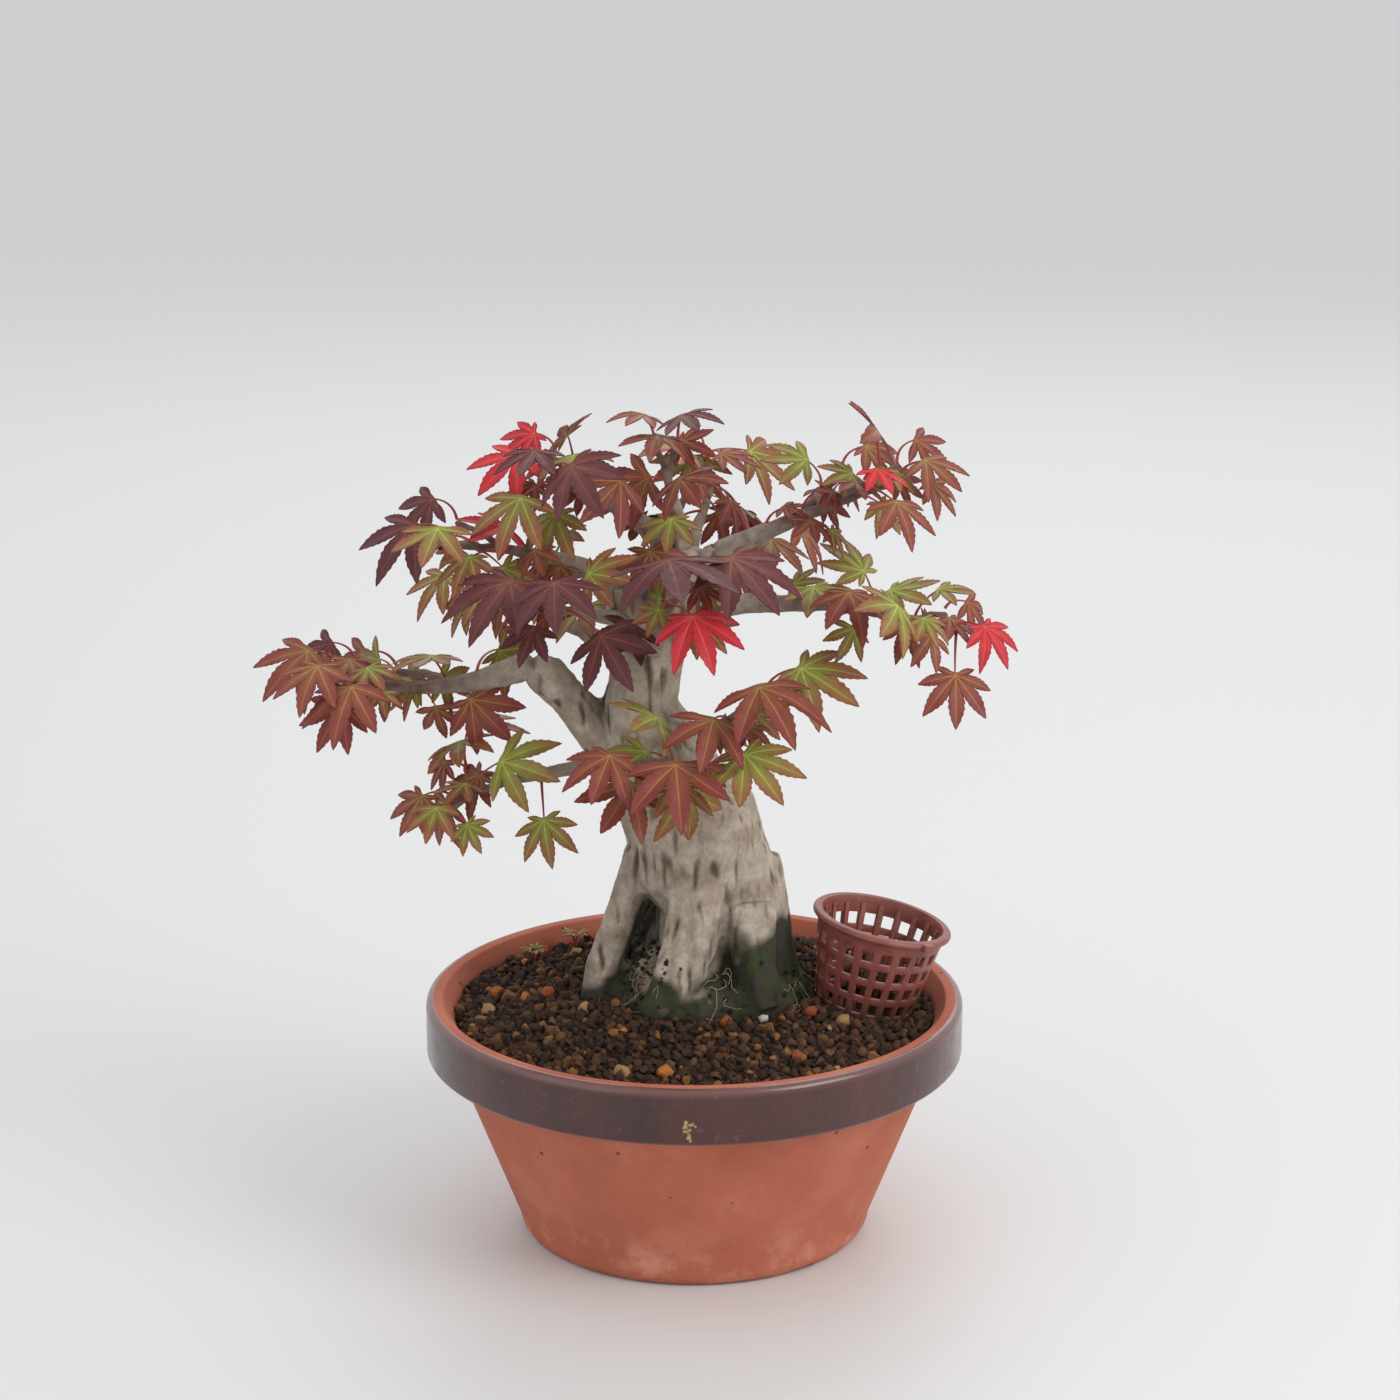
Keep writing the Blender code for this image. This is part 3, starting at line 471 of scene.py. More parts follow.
net_finish = new_finish("black_net_plastic", 0.5)
wear(net_finish, ramp(net_finish, speckle(net_finish, 700), (0.3, srgb(26, 26, 28)), (0.7, srgb(48, 46, 44))))
refinish("drain_net", net_finish)
pumice = new_finish("coarse_pumice", 0.95)
pumice_cells = add_node(pumice, "TexVoronoi", {
    "Vector": add_node(pumice, "TexCoord").outputs["Object"], "Scale": 240.0,
}).outputs["Distance"]
pumice_tone = ramp(pumice, pumice_cells, (0.0, srgb(176, 156, 122)), (0.6, srgb(84, 70, 52)))
wear(pumice, pumice_tone, None, pumice_cells, 0.0015)
refinish("drainage_layer", pumice)
earth = new_finish("dark_earth", 0.95, Specular_IOR_Level=0.2)
wear(
    earth, ramp(earth, speckle(earth, 500, 5, 0.7), (0.3, srgb(34, 25, 20)), (0.7, srgb(66, 48, 37))), None,
    speckle(earth, 600, 4), 0.0008,
)
refinish("soil", earth)

collar = pot_height + 0.005


def surface_of(*nodes):
    """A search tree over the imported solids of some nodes."""
    joined = bmesh.new()
    for node in nodes:
        joined.from_mesh(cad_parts[node].data)
    found = BVHTree.FromBMesh(joined)
    joined.free()
    return found


soil_surface = surface_of("soil")
trunk_surface = surface_of("trunk")
basket_surface = surface_of("feed_basket")
straight_down = Vector((0, 0, -1))


def ground_at(x, y):
    """The open ground under a place: the soil, or the pad of roots where it comes through; None elsewhere."""
    over = Vector((x, y, collar + 0.016))
    at, normal, _, _ = soil_surface.ray_cast(over, straight_down)
    root, root_normal, _, _ = trunk_surface.ray_cast(over, straight_down)
    if root and (not at or root.z > at.z):
        at, normal = root, root_normal
    if not at or normal.z < 0.35 or at.z < pot_height - 0.010:
        return None
    return at


earth_tones = (
    [srgb(72, 51, 39)] * 9 + [srgb(58, 42, 33)] * 6 + [srgb(92, 64, 45)] * 4 + [srgb(112, 78, 50)] * 2
    + [srgb(146, 100, 58)]
)
stone_tones = [
    srgb(186, 116, 56), srgb(170, 136, 92), srgb(150, 78, 44), srgb(122, 84, 54), srgb(206, 198, 180),
]
scatter = random.Random(21)
pitch = 0.0031
soil_reach = 0.0800
grains = []
rows = int(soil_reach / (pitch * math.sqrt(0.75)))
for row in range(-rows, rows + 1):
    for column in range(-rows - 4, rows + 5):
        x = (column + 0.5 * (row % 2)) * pitch + scatter.gauss(0, 0.0005)
        y = row * pitch * math.sqrt(0.75) + scatter.gauss(0, 0.0005)
        radius = scatter.uniform(0.0012, 0.0024)
        tone = scatter.choice(earth_tones)
        stacked = scatter.random()
        if math.hypot(x, y) > soil_reach - 0.5 * radius:
            continue
        at = ground_at(pot_x + x, y)
        if not at:
            continue
        if basket_surface.find_nearest(at)[3] < radius + 0.0006:
            radius *= 0.45
        if trunk_surface.find_nearest(at)[3] < 0.0015:
            if stacked > 0.75:
                continue
            radius *= 0.5
            tone = srgb(44, 38, 29)
        grains.append((at + Vector((0, 0, 0.15 * radius)), radius, tone))
        if stacked < 0.33 and radius > 0.0015:
            top = at + Vector((scatter.gauss(0, 0.001), scatter.gauss(0, 0.001), 1.1 * radius))
            grains.append((top, 0.75 * radius, scatter.choice(earth_tones)))
ground = strewn("soil_grains", grains, grain_finish, 22)

stone_count = 46
stones = []
while len(stones) < stone_count:
    bearing, out = scatter.uniform(0, math.tau), soil_reach * math.sqrt(scatter.uniform(0.12, 0.92))
    at = ground_at(pot_x + out * math.cos(bearing), out * math.sin(bearing))
    radius = scatter.choice((0.0014, 0.0019, 0.0024, 0.0030))
    tone = scatter.choice(stone_tones[:4] * 4 + stone_tones[4:])
    clear = at and min(trunk_surface.find_nearest(at)[3], basket_surface.find_nearest(at)[3]) > radius + 0.001
    if clear and all((at - other).length > radius + size for other, size, _ in stones):
        stones.append((at + Vector((0, 0, 0.6 * radius)), radius, tone))
larger = strewn("larger_stones", stones, grain_finish, 23)
for piece in (ground, larger):
    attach(piece, "root")

# --- feed basket ---
# A reddish brown moulded cup that holds cakes of fertiliser, with a lattice wall, a rolled rim and the stub
# of a broken lid hinge. A pin under its slotted floor holds it in the soil, where it has settled at a lean.

basket_low, basket_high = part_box("feed_basket")
cup_rim, cup_foot, cup_height, cup_wall = 0.0235, 0.0150, 0.0400, 0.0012
cup_lean = math.radians(12)
cup_band, cup_skirt, cup_ring, cup_rows, cup_ribs = 0.0058, 0.0046, 0.0024, 5, 20
cells = 5  # steps round to each rib: three of window, two of rib


def cup_radius(up):
    """The cup's outer radius at a height over its floor."""
    return cup_foot + (cup_rim - 0.0016 - cup_foot) * up / cup_height


row_pitch = (cup_height - cup_band - cup_skirt + cup_ring) / cup_rows
window_rows = [
    (cup_skirt + k * row_pitch, cup_skirt + (k + 1) * row_pitch - cup_ring) for k in range(cup_rows)
]
cup_outline = [(0.0009, -0.009), (0.0028, -0.0012), (0.0045, 0), (0.0118, 0)]  # the pin, then the floor
cup_outline += [(cup_radius(0) - 0.0004, 0.0002)]
cup_outline += [(cup_radius(z), z) for low_high in window_rows for z in low_high]
cup_outline += [(cup_radius(cup_height - 0.002), cup_height - 0.002), (cup_radius(cup_height), cup_height)]
cup = turned("lattice_cup", cup_outline, cup_ribs * cells)
bpy.ops.object.mode_set(mode="EDIT")
bpy.ops.mesh.select_mode(type="FACE")
bpy.ops.mesh.select_all(action="DESELECT")
bpy.ops.object.mode_set(mode="OBJECT")
for face in cup.data.polygons:
    step = int(math.degrees(math.atan2(face.center.y, face.center.x)) % 360 * cup_ribs * cells / 360)
    in_row = any(low < face.center.z < high for low, high in window_rows)
    on_floor = abs(face.center.z) < 0.0001 and math.hypot(face.center.x, face.center.y) > 0.005
    face.select = step % cells < 3 and (in_row or on_floor)
bpy.ops.object.mode_set(mode="EDIT")
bpy.ops.mesh.delete(type="FACE")
bpy.ops.mesh.select_mode(type="VERT")
bpy.ops.object.mode_set(mode="OBJECT")
thick = cup.modifiers.new("wall", "SOLIDIFY")
thick.thickness = cup_wall
thick.offset = -1
soft = cup.modifiers.new("soft_edges", "BEVEL")
soft.width = 0.00022
soft.segments = 2
soft.angle_limit = math.radians(50)
apply_all(cup)
bead_outline = arc(cup_rim - 0.0012, cup_height - 0.0010, 0.0012, 0, 360, 12)
bead = turned("rolled_rim", bead_outline, cup_ribs * cells)
bpy.ops.object.select_all(action="DESELECT")
rib_length = cup_height - 0.004
slope = math.atan2(cup_radius(cup_height) - cup_radius(0), cup_height)
ribs = []
for k in range(cup_ribs):
    turn = math.tau * (k * cells + 4) / (cup_ribs * cells)
    middle = cup_radius(cup_height / 2) - cup_wall - 0.0003
    bpy.ops.mesh.primitive_cube_add(size=1, scale=(0.0009, 0.0018, rib_length), rotation=(0, slope, 0))
    rib = bpy.context.object
    outwards = Matrix.Rotation(turn, 4, "Z") @ Matrix.Translation((middle, 0, cup_height / 2))
    rib.data.transform(outwards @ rib.matrix_basis)
    rib.matrix_basis = Matrix.Identity(4)
    ribs.append(rib)
bpy.ops.mesh.primitive_cube_add(size=1)
stub = bpy.context.object
hinge_turn = math.radians(-52)
hinge_place = (cup_rim + 0.0002, 0, cup_height - 0.0012)
hinge_size = (0.0026, 0.0042, 0.0026, 1)
stub.data.transform(
    Matrix.Rotation(hinge_turn, 4, "Z") @ Matrix.Translation(hinge_place) @ Matrix.Diagonal(hinge_size)
)
ribs.append(stub)
for rib in ribs:
    rib.select_set(True)
bpy.context.view_layer.objects.active = ribs[0]
bpy.ops.object.join()
inner_ribs = bpy.context.object
inner_ribs.name = "inner_ribs_and_hinge_stub"
soft = inner_ribs.modifiers.new("soft_edges", "BEVEL")
soft.width = 0.0003
soft.segments = 2
apply_all(inner_ribs)

plastic = new_finish("brown_basket_plastic", 0.45)
plastic_tone = ramp(
    plastic, speckle(plastic, 120, 4),
    (0.3, srgb(118, 62, 54)), (0.6, srgb(140, 78, 68)), (0.8, srgb(152, 92, 80)),
)
chalk = ramp(plastic, speckle(plastic, 650, 5, 0.7), (0.58, 0.0), (0.74, 0.55))
plastic_tone = blend_colours(plastic, chalk, plastic_tone, srgb(182, 140, 124))
mud = between(plastic, height_of(plastic), collar + 0.004, collar - 0.006, 0.0, 0.8)
plastic_tone = blend_colours(plastic, mud, plastic_tone, srgb(74, 48, 38))
wear(plastic, plastic_tone, ramp(plastic, chalk, (0.0, 0.40), (0.6, 0.65)), speckle(plastic, 500, 3), 0.00006)
stand = Vector((
    basket_high.x - cup_height * math.sin(cup_lean) - cup_rim * math.cos(cup_lean),
    (basket_low.y + basket_high.y) / 2,
    basket_high.z - cup_height * math.cos(cup_lean) - cup_rim * math.sin(cup_lean),
))
for piece in (cup, bead, inner_ribs):
    piece.data.transform(Matrix.Translation(stand) @ Matrix.Rotation(cup_lean, 4, "Y"))
    piece.data.materials.clear()
    piece.data.materials.append(plastic)
    show_only(piece)
    bpy.ops.object.shade_smooth_by_angle(angle=math.radians(35))
    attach(piece, "root")
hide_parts("feed_basket")

# --- trunk and branches ---
# Old maple wood. The bark is smooth and pale grey-beige with fine dark cracks, and black and mossy where the
# roots stay damp; the twigs are young wood, thin, hard and purple-brown. The trunk's hollows and crevices are
# darkened with painted shade.


def wood_copy(node, name, grain, rounds):
    """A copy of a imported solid, remeshed finely and smoothed, ready to take bark."""
    piece = bpy.data.objects.new(name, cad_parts[node].data.copy())
    bpy.context.scene.collection.objects.link(piece)
    piece.data.materials.clear()
    show_only(piece)
    bpy.ops.object.mode_set(mode="EDIT")
    bpy.ops.mesh.select_all(action="SELECT")
    bpy.ops.mesh.remove_doubles(threshold=0.00001)
    bpy.ops.object.mode_set(mode="OBJECT")
    fine = piece.modifiers.new("fine", "REMESH")
    fine.mode = "VOXEL"
    fine.voxel_size = grain
    even = piece.modifiers.new("even", "SMOOTH")
    even.factor = 0.5
    even.iterations = rounds
    apply_all(piece)
    return piece


def as_smoothed(piece):
    """Every point of a piece with its place and normal, all read before any point is moved."""
    return [(point, point.co.copy(), point.normal.copy()) for point in piece.data.vertices]


def hidden_share(at, normal, tree, reach, rays):
    """How much of the sky over a place is hidden by wood within a reach."""
    start = at + normal * 0.0015
    hits = sum(1 for ray in rays if tree.ray_cast(start, (normal + ray).normalized(), reach)[0])
    return hits / len(rays)


def held(value):
    """A number held between 0 and 1."""
    return min(1.0, max(0.0, value))


around = ((0, 0.2), (1.3, -0.3), (2.5, 0.5), (3.8, 0), (5.0, 0.3))  # radians round, and height
sky_rays = [0.9 * Vector((math.cos(a), math.sin(a), h)) for a, h in around]
shade_reach = 0.022
trunk_grain, trunk_rounds = 0.0007, 14
trunk = wood_copy("trunk", "old_trunk", trunk_grain, trunk_rounds)
tones = []
for point, at, normal in as_smoothed(trunk):
    up = at.z - collar
    bearing = math.atan2(at.y, at.x - pot_x)
    lumps = noise.noise(Vector((at.x * 55, at.y * 55, at.z * 34)))
    wrinkle = noise.noise(Vector((at.x * 420, at.y * 420, at.z * 95)))
    ring = noise.noise(Vector((at.x * 70, at.y * 70, at.z * 520)))
    pits = noise.fractal(at * 900, 1.0, 2.0, 3)
    low = held(1 - up / 0.045)
    flute = noise.noise(Vector((6 * math.cos(bearing), 6 * math.sin(bearing), at.z * 10)))
    shift = 0.0013 * lumps + 0.00035 * wrinkle + 0.00014 * ring + 0.00016 * pits + 0.0024 * low * flute
    point.co = at + normal * shift
    # Painted shade: how much sky nearby wood hides over each point, used below to darken hollows and crevices.
    painted_crevice_shade = hidden_share(at, normal, trunk_surface, shade_reach, sky_rays)
    right = held((at.x - pot_x + 0.004) / 0.022)
    edge = 0.008 + 0.020 * right + 0.012 * noise.noise(at * 110)
    damp = held((edge - up) / 0.006)
    pale = 0.5 + 0.5 * noise.fractal(at * 160, 1.0, 2.0, 3)
    tone = Vector(srgb(150, 132, 114)).lerp(Vector(srgb(206, 192, 174)), held(pale))
    tone = tone.lerp(Vector(srgb(96, 80, 66)), held(2.2 * -wrinkle - 0.45))
    tone = tone.lerp(Vector(srgb(40, 40, 28)), 0.93 * damp)
    if damp > 0.6 and noise.noise(at * 240) > 0.12:
        tone = tone.lerp(Vector(srgb(56, 68, 30)), 0.6)
    # Painted shade: the more sky is hidden, the nearer the bark colour goes to near black.
    tones.append((*tone.lerp(Vector(srgb(22, 18, 14)), min(0.92, 1.15 * painted_crevice_shade ** 1.2)), 1.0))


def paint(piece, colours):
    """Stores a bark colour on every point of a piece."""
    layer = piece.data.attributes.new("bark_tint", "FLOAT_COLOR", "POINT")
    layer.data.foreach_set("color", np.array(colours).ravel())


bark = new_finish("maple_bark", 0.85, Specular_IOR_Level=0.3)
tinted(bark, "bark_tint", 700, 0.0003, 0.3)


def finish_wood(piece, node):
    """Gives a piece of wood its bark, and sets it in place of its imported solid."""
    piece.data.materials.append(bark)
    show_only(piece)
    bpy.ops.object.shade_smooth()
    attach(piece, "root")
    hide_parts(node)


paint(trunk, tones)
finish_wood(trunk, "trunk")

branch_nodes = sorted(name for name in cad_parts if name.endswith("_branch"))
young, old = Vector(srgb(138, 112, 102)), Vector(srgb(184, 168, 150))
branch_grain, branch_rounds = 0.00042, 5
for node in branch_nodes:
    branch = wood_copy(node, "wood_of_" + node, branch_grain, branch_rounds)
    tones = []
    for point, at, normal in as_smoothed(branch):
        _, trunk_normal, _, gap = trunk_surface.find_nearest(at)
        knots = noise.noise(Vector((at.x * 260, at.y * 260, at.z * 260)))
        point.co = at + normal * (0.0002 + 0.00035 * knots + 0.0001 * noise.noise(at * 1100))
        if gap < 0.0014:
            point.co -= trunk_normal * 0.0016
        age = held(1 - (gap - 0.004) / 0.030)
        tone = young.lerp(old, age) * (0.85 + 0.3 * noise.noise(at * 330))
        tones.append((*tone, 1.0))
    paint(branch, tones)
    finish_wood(branch, node)

# --- leaves ---
# Palm-shaped maple leaves, thin and slightly folded along each lobe's midrib, with toothed edges and a thin
# red stalk. They turn from green through olive to red-brown and maroon in autumn; a few late ones are bright
# red.

five_lobes = ((-84, 0.64), (-42, 0.93), (0, 1.0), (42, 0.93), (84, 0.64))
seven_lobes = ((-112, 0.40), (-74, 0.72), (-38, 0.94), (0, 1.0), (38, 0.94), (74, 0.72), (112, 0.40))
sinus = 0.31
teeth = 6
blade_rings = (0.22, 0.48, 0.75, 1.0)


def lobe_edge(angle, length, side):
    """One toothed edge of a lobe, from the notch out to its tip, as (along, aside) in the leaf's plane."""
    edge = []
    for k in range(2 * teeth):
        t = k / (2 * teeth)
        along = length * (0.36 + 0.64 * t)
        aside = length * 0.165 * math.sin(math.pi * (0.24 + 0.76 * t) ** 0.92) ** 0.85
        aside *= 1.0 if k % 2 else 0.84
        edge.append((along, side * aside))
    a = math.radians(angle)
    return [(u * math.cos(a) - v * math.sin(a), u * math.sin(a) + v * math.cos(a)) for u, v in edge]


def leaf_outline(lobes):
    """The outline of a whole leaf of unit length, its middle lobe along X."""
    outline = [(-0.06, -0.03)]
    for k, (angle, length) in enumerate(lobes):
        a = math.radians(angle)
        outline += lobe_edge(angle, length, -1) + [(length * math.cos(a), length * math.sin(a))]
        outline += lobe_edge(angle, length, 1)[::-1]
        if k < len(lobes) - 1:
            b = math.radians((angle + lobes[k + 1][0]) / 2)
            outline.append((sinus * math.cos(b), sinus * math.sin(b)))
    return outline + [(-0.06, 0.03)]


def tube(route, radii, sides=6):
    """A closed tube along a route, as points and faces."""
    points, faces = [], []
    across = (route[1] - route[0]).orthogonal().normalized()
    for k, (at, radius) in enumerate(zip(route, radii)):
        ahead = (route[min(k + 1, len(route) - 1)] - route[max(k - 1, 0)]).normalized()
        across = (across - across.dot(ahead) * ahead).normalized()
        other = ahead.cross(across)
        for j in range(sides):
            turn = math.tau * j / sides
            points.append(at + radius * (math.cos(turn) * across + math.sin(turn) * other))
    for k in range(len(route) - 1):
        for j in range(sides):
            a, b = k * sides + j, k * sides + (j + 1) % sides
            faces.append((a, b, b + sides, a + sides))
    faces.append(tuple(range(sides))[::-1])
    faces.append(tuple(range((len(route) - 1) * sides, len(route) * sides)))
    return points, faces


def bent(start, pull, end, parts=7):
    """Points along a curve from start to end that is pulled towards a third point."""
    shares = [k / parts for k in range(parts + 1)]
    return [(1 - t) ** 2 * start + 2 * t * (1 - t) * pull + t**2 * end for t in shares]


outlines = {5: leaf_outline(five_lobes), 7: leaf_outline(seven_lobes)}
blade_thickness = 0.00035
stalk_radius, stalk_growth = 0.00028, 0.00004  # at the blade, and more at each step to the twig


def grow_leaf(parts, foot, hub, ahead, up, size, seed):
    """Adds one leaf's blade and stalk to the lists in parts; the blade's points also get their tones."""
    draw = random.Random(seed)
    count = 7 if draw.random() < 0.45 else 5
    lobes = seven_lobes if count == 7 else five_lobes
    side = up.cross(ahead)
    fold, droop, twist = draw.uniform(0.10, 0.38), draw.uniform(0.12, 0.36), draw.uniform(-0.18, 0.18)
    curl = [draw.uniform(-0.14, 0.14) for _ in lobes]
    tone = draw.random()
    first = len(parts["points"])
    rings = [[(0.0, 0.0)]] + [[(s * x, s * y) for x, y in outlines[count]] for s in blade_rings]
    for ring in rings:
        for x, y in ring:
            out, turn = math.hypot(x, y), math.degrees(math.atan2(y, x))
            nearest = min(range(len(lobes)), key=lambda k: abs(lobes[k][0] - turn))
            off = math.radians(turn - lobes[nearest][0])
            aside, along = out * abs(math.sin(off)), out * math.cos(off)
            rise = fold * aside - droop * out**2 + curl[nearest] * out**3 + twist * y * x
            parts["points"].append(hub + size * (x * ahead + y * side + rise * up))
            parts["along"].append(max(0.0, along / lobes[nearest][1]))
            parts["across"].append(min(1.0, aside / 0.15))
            parts["tone"].append(tone)
    steps = len(outlines[count])
    for k in range(steps):
        following = (k + 1) % steps
        parts["faces"].append((first, first + 1 + k, first + 1 + following))
        for ring in range(len(blade_rings) - 1):
            a, b = first + 1 + ring * steps + k, first + 1 + ring * steps + following
            parts["faces"].append((a, a + steps, b + steps, b))
    start = hub - 0.05 * size * ahead - 0.0003 * up
    pull = start + 0.45 * (foot - start) - 0.22 * size * ahead
    route = bent(start, pull, foot)
    points, faces = tube(route, [stalk_radius + stalk_growth * k for k in range(len(route))])
    base = len(parts["stalk_points"])
    parts["stalk_points"] += points
    parts["stalk_faces"] += [tuple(base + i for i in face) for face in faces]


def empty_parts():
    """The lists that grow_leaf adds to, still empty."""
    return {key: [] for key in ("points", "faces", "along", "across", "tone", "stalk_points", "stalk_faces")}


stalk_red = new_finish("red_stalk", 0.45)
wear(stalk_red, ramp(stalk_red, speckle(stalk_red, 400), (0.3, srgb(138, 44, 46)), (0.7, srgb(172, 74, 62))))


def blade_finish(name, heart, flesh, margin, vein):
    """A living blade: a paler heart, darker margins, thin veins, and a soft sheen."""
    made = new_finish(name, 0.5, Specular_IOR_Level=0.4, Subsurface_Weight=0.06, Subsurface_Scale=0.002)
    along = add_node(made, "Attribute", attribute_name="along").outputs["Fac"]
    across = add_node(made, "Attribute", attribute_name="across").outputs["Fac"]
    own = add_node(made, "Attribute", attribute_name="tone").outputs["Fac"]
    blotch = speckle(made, 240, 4, 0.6)
    reach = maths(made, "ADD", maths(made, "ADD", along, maths(made, "MULTIPLY", across, 0.35)),
                  maths(made, "ADD", maths(made, "MULTIPLY", blotch, 0.9), maths(made, "MULTIPLY", own, 0.5)))
    colour = ramp(made, maths(made, "MULTIPLY", reach, 0.5), (0.26, heart), (0.50, flesh), (0.82, margin))
    rib = maths(
        made, "MULTIPLY", ramp(made, across, (0.02, 0.8), (0.11, 0.0)),
        between(made, along, 0.05, 0.95, 1.0, 0.2),
    )
    colour = blend_colours(made, rib, colour, vein)
    dry = ramp(made, along, (0.93, 0.0), (1.0, 0.7))
    colour = blend_colours(made, dry, colour, srgb(64, 38, 30))
    wear(made, colour, ramp(made, blotch, (0.3, 0.42), (0.7, 0.62)), speckle(made, 1500, 4), 0.00015)
    return made


leaf_tones = {
    "maroon": (srgb(120, 74, 58), srgb(104, 50, 48), srgb(84, 36, 40), srgb(150, 84, 66)),
    "russet": (srgb(134, 112, 60), srgb(138, 78, 52), srgb(122, 50, 44), srgb(186, 138, 76)),
    "scarlet": (srgb(196, 62, 52), srgb(204, 46, 52), srgb(178, 34, 46), srgb(226, 110, 92)),
    "green": (srgb(150, 160, 64), srgb(136, 134, 58), srgb(140, 84, 54), srgb(196, 196, 104)),
}
blades = {colour: blade_finish(colour + "_leaf", *tones) for colour, tones in leaf_tones.items()}


def leaf_piece(name, parts, colour):
    """Makes a piece of the blades, thickened, and of their stalks."""
    mesh = bpy.data.meshes.new(name)
    mesh.from_pydata([tuple(p) for p in parts["points"]], [], parts["faces"])
    for key in ("along", "across", "tone"):
        mesh.attributes.new(key, "FLOAT", "POINT").data.foreach_set("value", parts[key])
    mesh.materials.append(blades[colour])
    mesh.materials.append(stalk_red)
    piece = bpy.data.objects.new(name, mesh)
    bpy.context.scene.collection.objects.link(piece)
    body = piece.modifiers.new("body", "SOLIDIFY")
    body.thickness = blade_thickness
    body.offset = 0
    apply_all(piece)
    stalks = bpy.data.meshes.new("stalks")
    stalks.from_pydata([tuple(p) for p in parts["stalk_points"]], [], parts["stalk_faces"])
    stalks.materials.append(stalk_red)
    stems = bpy.data.objects.new("stalks", stalks)
    bpy.context.scene.collection.objects.link(stems)
    show_only(piece)
    stems.select_set(True)
    bpy.ops.object.join()
    show_only(piece)
    bpy.ops.object.shade_smooth_by_angle(angle=math.radians(50))
    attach(piece, "root")
    return piece


def leaf_seat(node):
    """A packed leaf's foot, hub, heading, upward side and size, read from its solid."""
    solid = bmesh.new()
    solid.from_mesh(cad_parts[node].data)
    bmesh.ops.remove_doubles(solid, verts=solid.verts, dist=0.00001)
    by_edges = sorted(solid.verts, key=lambda v: -len(v.link_edges))
    one, two = by_edges[0], by_edges[1]
    rim = [e.other_vert(one) for e in one.link_edges if e.other_vert(one) is not two]
    hub = (one.co + two.co) / 2
    up = (one.co - two.co).normalized()
    middle = sum((v.co for v in rim), Vector()) / len(rim)
    if (middle - hub).dot(up) > 0:
        up = -up
    tip = max(rim, key=lambda v: (v.co - hub).length).co
    ahead = tip - hub
    ahead = (ahead - ahead.dot(up) * up)
    size = ahead.length
    hub_near = {one, two} | {e.other_vert(v) for v in (one, two) for e in v.link_edges}
    foot = max((v.co for v in solid.verts if v not in hub_near), key=lambda co: (co - hub).length)
    seat = (foot.copy(), hub.copy(), ahead.normalized(), up.copy(), size)
    solid.free()
    return seat


leaf_nodes = sorted(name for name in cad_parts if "_leaf_" in name)
leaf_growth = 1.24  # of a blade over its packed leaf
seats = []
for k, node in enumerate(leaf_nodes):
    foot, hub, ahead, up, size = leaf_seat(node)
    colour = node.split("_")[0]
    parts = empty_parts()
    grow_leaf(parts, foot, hub, ahead, up, leaf_growth * size, k)
    blade = leaf_piece(node.replace("_leaf_", "_maple_leaf_"), parts, colour)
    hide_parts(node)
    seats.append((hub, size, colour))

# --- smaller leaves ---
# Between the larger leaves every twig carries smaller ones, also on the short spurs along the older wood.
# They grow where there is room and hang out towards the light, and take after the larger leaves near them.

twig_places = []
for node in branch_nodes:
    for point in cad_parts[node].data.vertices:
        if trunk_surface.find_nearest(point.co)[3] > 0.010:
            twig_places.append(point.co.copy())
twig_places.sort(key=lambda co: (round(co.x, 5), round(co.y, 5), round(co.z, 5)))
sprout = random.Random(77)
small = {colour: empty_parts() for colour in blades}
leaf_count, leaf_tries = 126, 6000
least_leaf, most_leaf = 0.009, 0.0215
late_red_share = 0.015
lowest_tip = collar + 0.035
room_low = cad_box[0] + Vector((-0.004, -0.002, 0))
room_high = cad_box[1] + Vector((0.004, 0.002, 0.004))
grown = 0
for _ in range(leaf_tries):
    if grown == leaf_count:
        break
    foot = sprout.choice(twig_places)
    away = Vector((foot.x - pot_x, foot.y, 0)).normalized()
    out = Vector((sprout.gauss(0, 0.8), sprout.gauss(-0.25, 0.8), sprout.gauss(0.35, 0.5))) + 0.7 * away
    size = sprout.uniform(least_leaf, most_leaf)
    hub = foot + out.normalized() * size * sprout.uniform(0.55, 1.0)
    ahead = (out.normalized() + Vector((0.1, -0.5, -0.75))).normalized()
    up = Vector((0.1, -0.6, 0.8)) + 0.4 * away + Vector([sprout.gauss(0, 0.16) for _ in range(3)])
    up = (up - up.dot(ahead) * ahead).normalized()
    tip = hub + size * ahead
    inside = all(
        low < value < high for end in (hub, tip) for low, value, high in zip(room_low, end, room_high)
    )
    crowded = any((hub - other).length < 0.38 * (size + reach) for other, reach, _ in seats)
    on_trunk = trunk_surface.find_nearest(hub)[3] < 0.35 * size
    if not inside or crowded or on_trunk or tip.z < lowest_tip:
        continue
    kin = min(seats, key=lambda seat: (seat[0] - hub).length)[2]
    colour = sprout.choice((kin, kin, "russet", "green", "green")) if kin != "scarlet" else "russet"
    if sprout.random() < late_red_share:
        colour = "scarlet"
    grow_leaf(small[colour], foot, hub, ahead, up, size, 1000 + grown)
    seats.append((hub, size, colour))
    grown += 1
for colour, parts in small.items():
    if parts["points"]:
        leaf_piece("smaller_" + colour + "_leaves", parts, colour)

# --- rootlets ---
# Fine pale roots that have come out over the damp mound and dried there, mostly at its front and right.

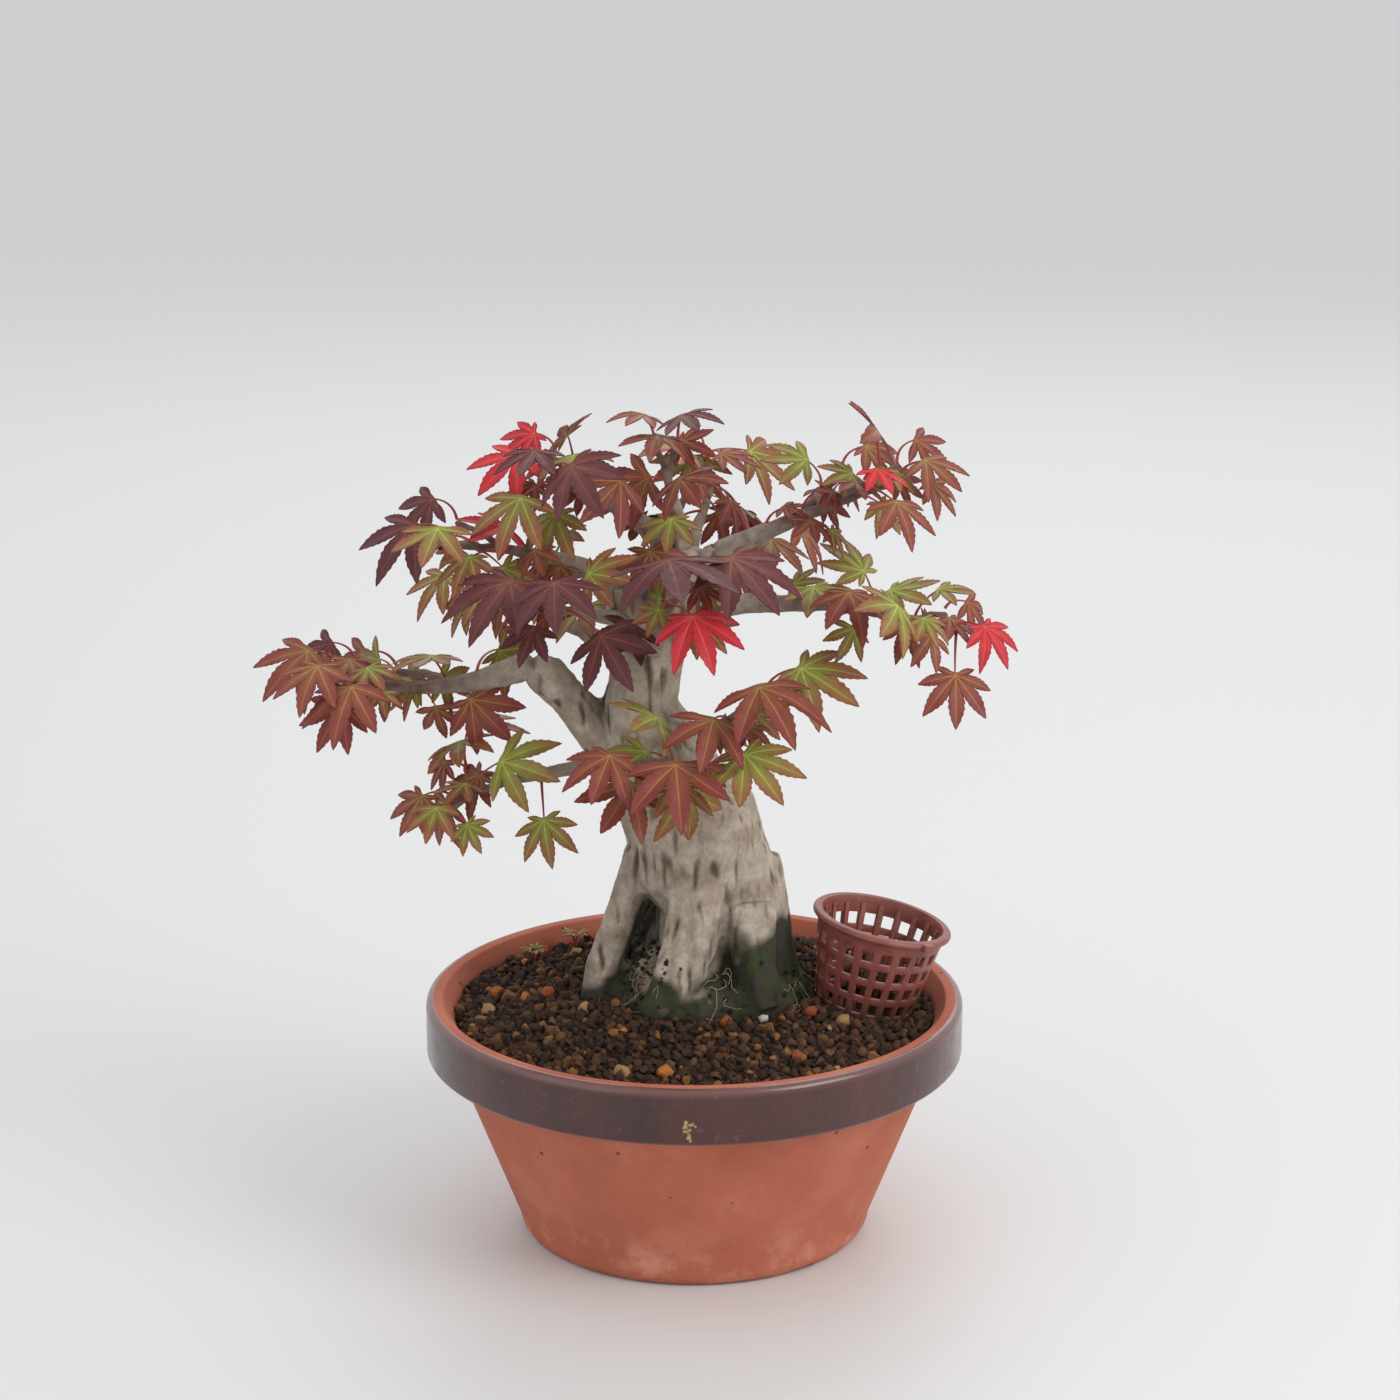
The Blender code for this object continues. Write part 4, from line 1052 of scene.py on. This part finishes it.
root_draw = random.Random(9)
root_count, root_steps = 46, 7
root_radius, root_taper = 0.00015, 0.00001
root_points, root_faces = [], []
for k in range(root_count):
    bearing = math.radians(root_draw.uniform(-150, 10))
    out = root_draw.uniform(0.016, 0.036)
    start = ground_at(pot_x + 0.004 + out * math.cos(bearing), out * math.sin(bearing))
    heading = bearing + root_draw.gauss(0, 0.8)
    reach = root_draw.uniform(0.004, 0.011)
    route = []
    for step in range(root_steps):
        share = step / (root_steps - 1)
        bend = heading + 0.9 * math.sin(step * 0.8 + k)
        at = (start or Vector()) + Vector((math.cos(bend), math.sin(bend), 0)) * reach * share
        below = ground_at(at.x, at.y) if start else None
        if below:
            route.append(below + Vector((0, 0, 0.0007 + 0.0009 * math.sin(math.pi * share))))
    if len(route) < 5:
        continue
    points, faces = tube(route, [root_radius - root_taper * i for i in range(len(route))], 5)
    base = len(root_points)
    root_points += points
    root_faces += [tuple(base + i for i in face) for face in faces]
root_mesh = bpy.data.meshes.new("rootlets")
root_mesh.from_pydata([tuple(p) for p in root_points], [], root_faces)
rootlets = bpy.data.objects.new("rootlets", root_mesh)
bpy.context.scene.collection.objects.link(rootlets)
root_finish = new_finish("dry_rootlets", 0.7)
root_mottle = speckle(root_finish, 300)
wear(root_finish, ramp(root_finish, root_mottle, (0.3, srgb(120, 102, 78)), (0.7, srgb(172, 152, 124))))
root_mesh.materials.append(root_finish)
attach(rootlets, "root")

# --- seedlings and moss ---
# Weeds that have come up by themselves: three seedlings near the rim at the back, and specks of moss on the
# damp mound round the trunk.

weed_draw = random.Random(17)
seedling_count, moss_count = 3, 260
seedling_height, seedling_leaf = 0.006, 0.0042
leafy = empty_parts()
for k in range(seedling_count):
    bearing = math.radians(weed_draw.uniform(50, 150))
    out = soil_reach * weed_draw.uniform(0.8, 0.92)
    start = ground_at(pot_x + out * math.cos(bearing), out * math.sin(bearing))
    for turn in (0.4, 2.2, 4.4):
        ahead = Vector((math.cos(turn + k), math.sin(turn + k), 0.25)).normalized()
        up = (Vector((0, 0, 1)) - ahead.z * ahead).normalized()
        hub = start + Vector((0, 0, seedling_height)) + 0.0015 * ahead
        grow_leaf(leafy, start, hub, ahead, up, seedling_leaf, 500 + k)
leaf_piece("seedlings", leafy, "green")
moss_draw = random.Random(31)
moss = []
while len(moss) < moss_count:
    bearing, out = moss_draw.uniform(0, math.tau), moss_draw.uniform(0.014, 0.042)
    at = ground_at(pot_x + 0.004 + out * math.cos(bearing), out * math.sin(bearing))
    if at and (noise.noise(at * 90) > 0.05):
        moss.append((at + Vector((0, 0, 0.0004)), moss_draw.uniform(0.0003, 0.0008), srgb(62, 74, 34)))
moss_specks = strewn("moss_specks", moss, grain_finish, 32)
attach(moss_specks, "root")
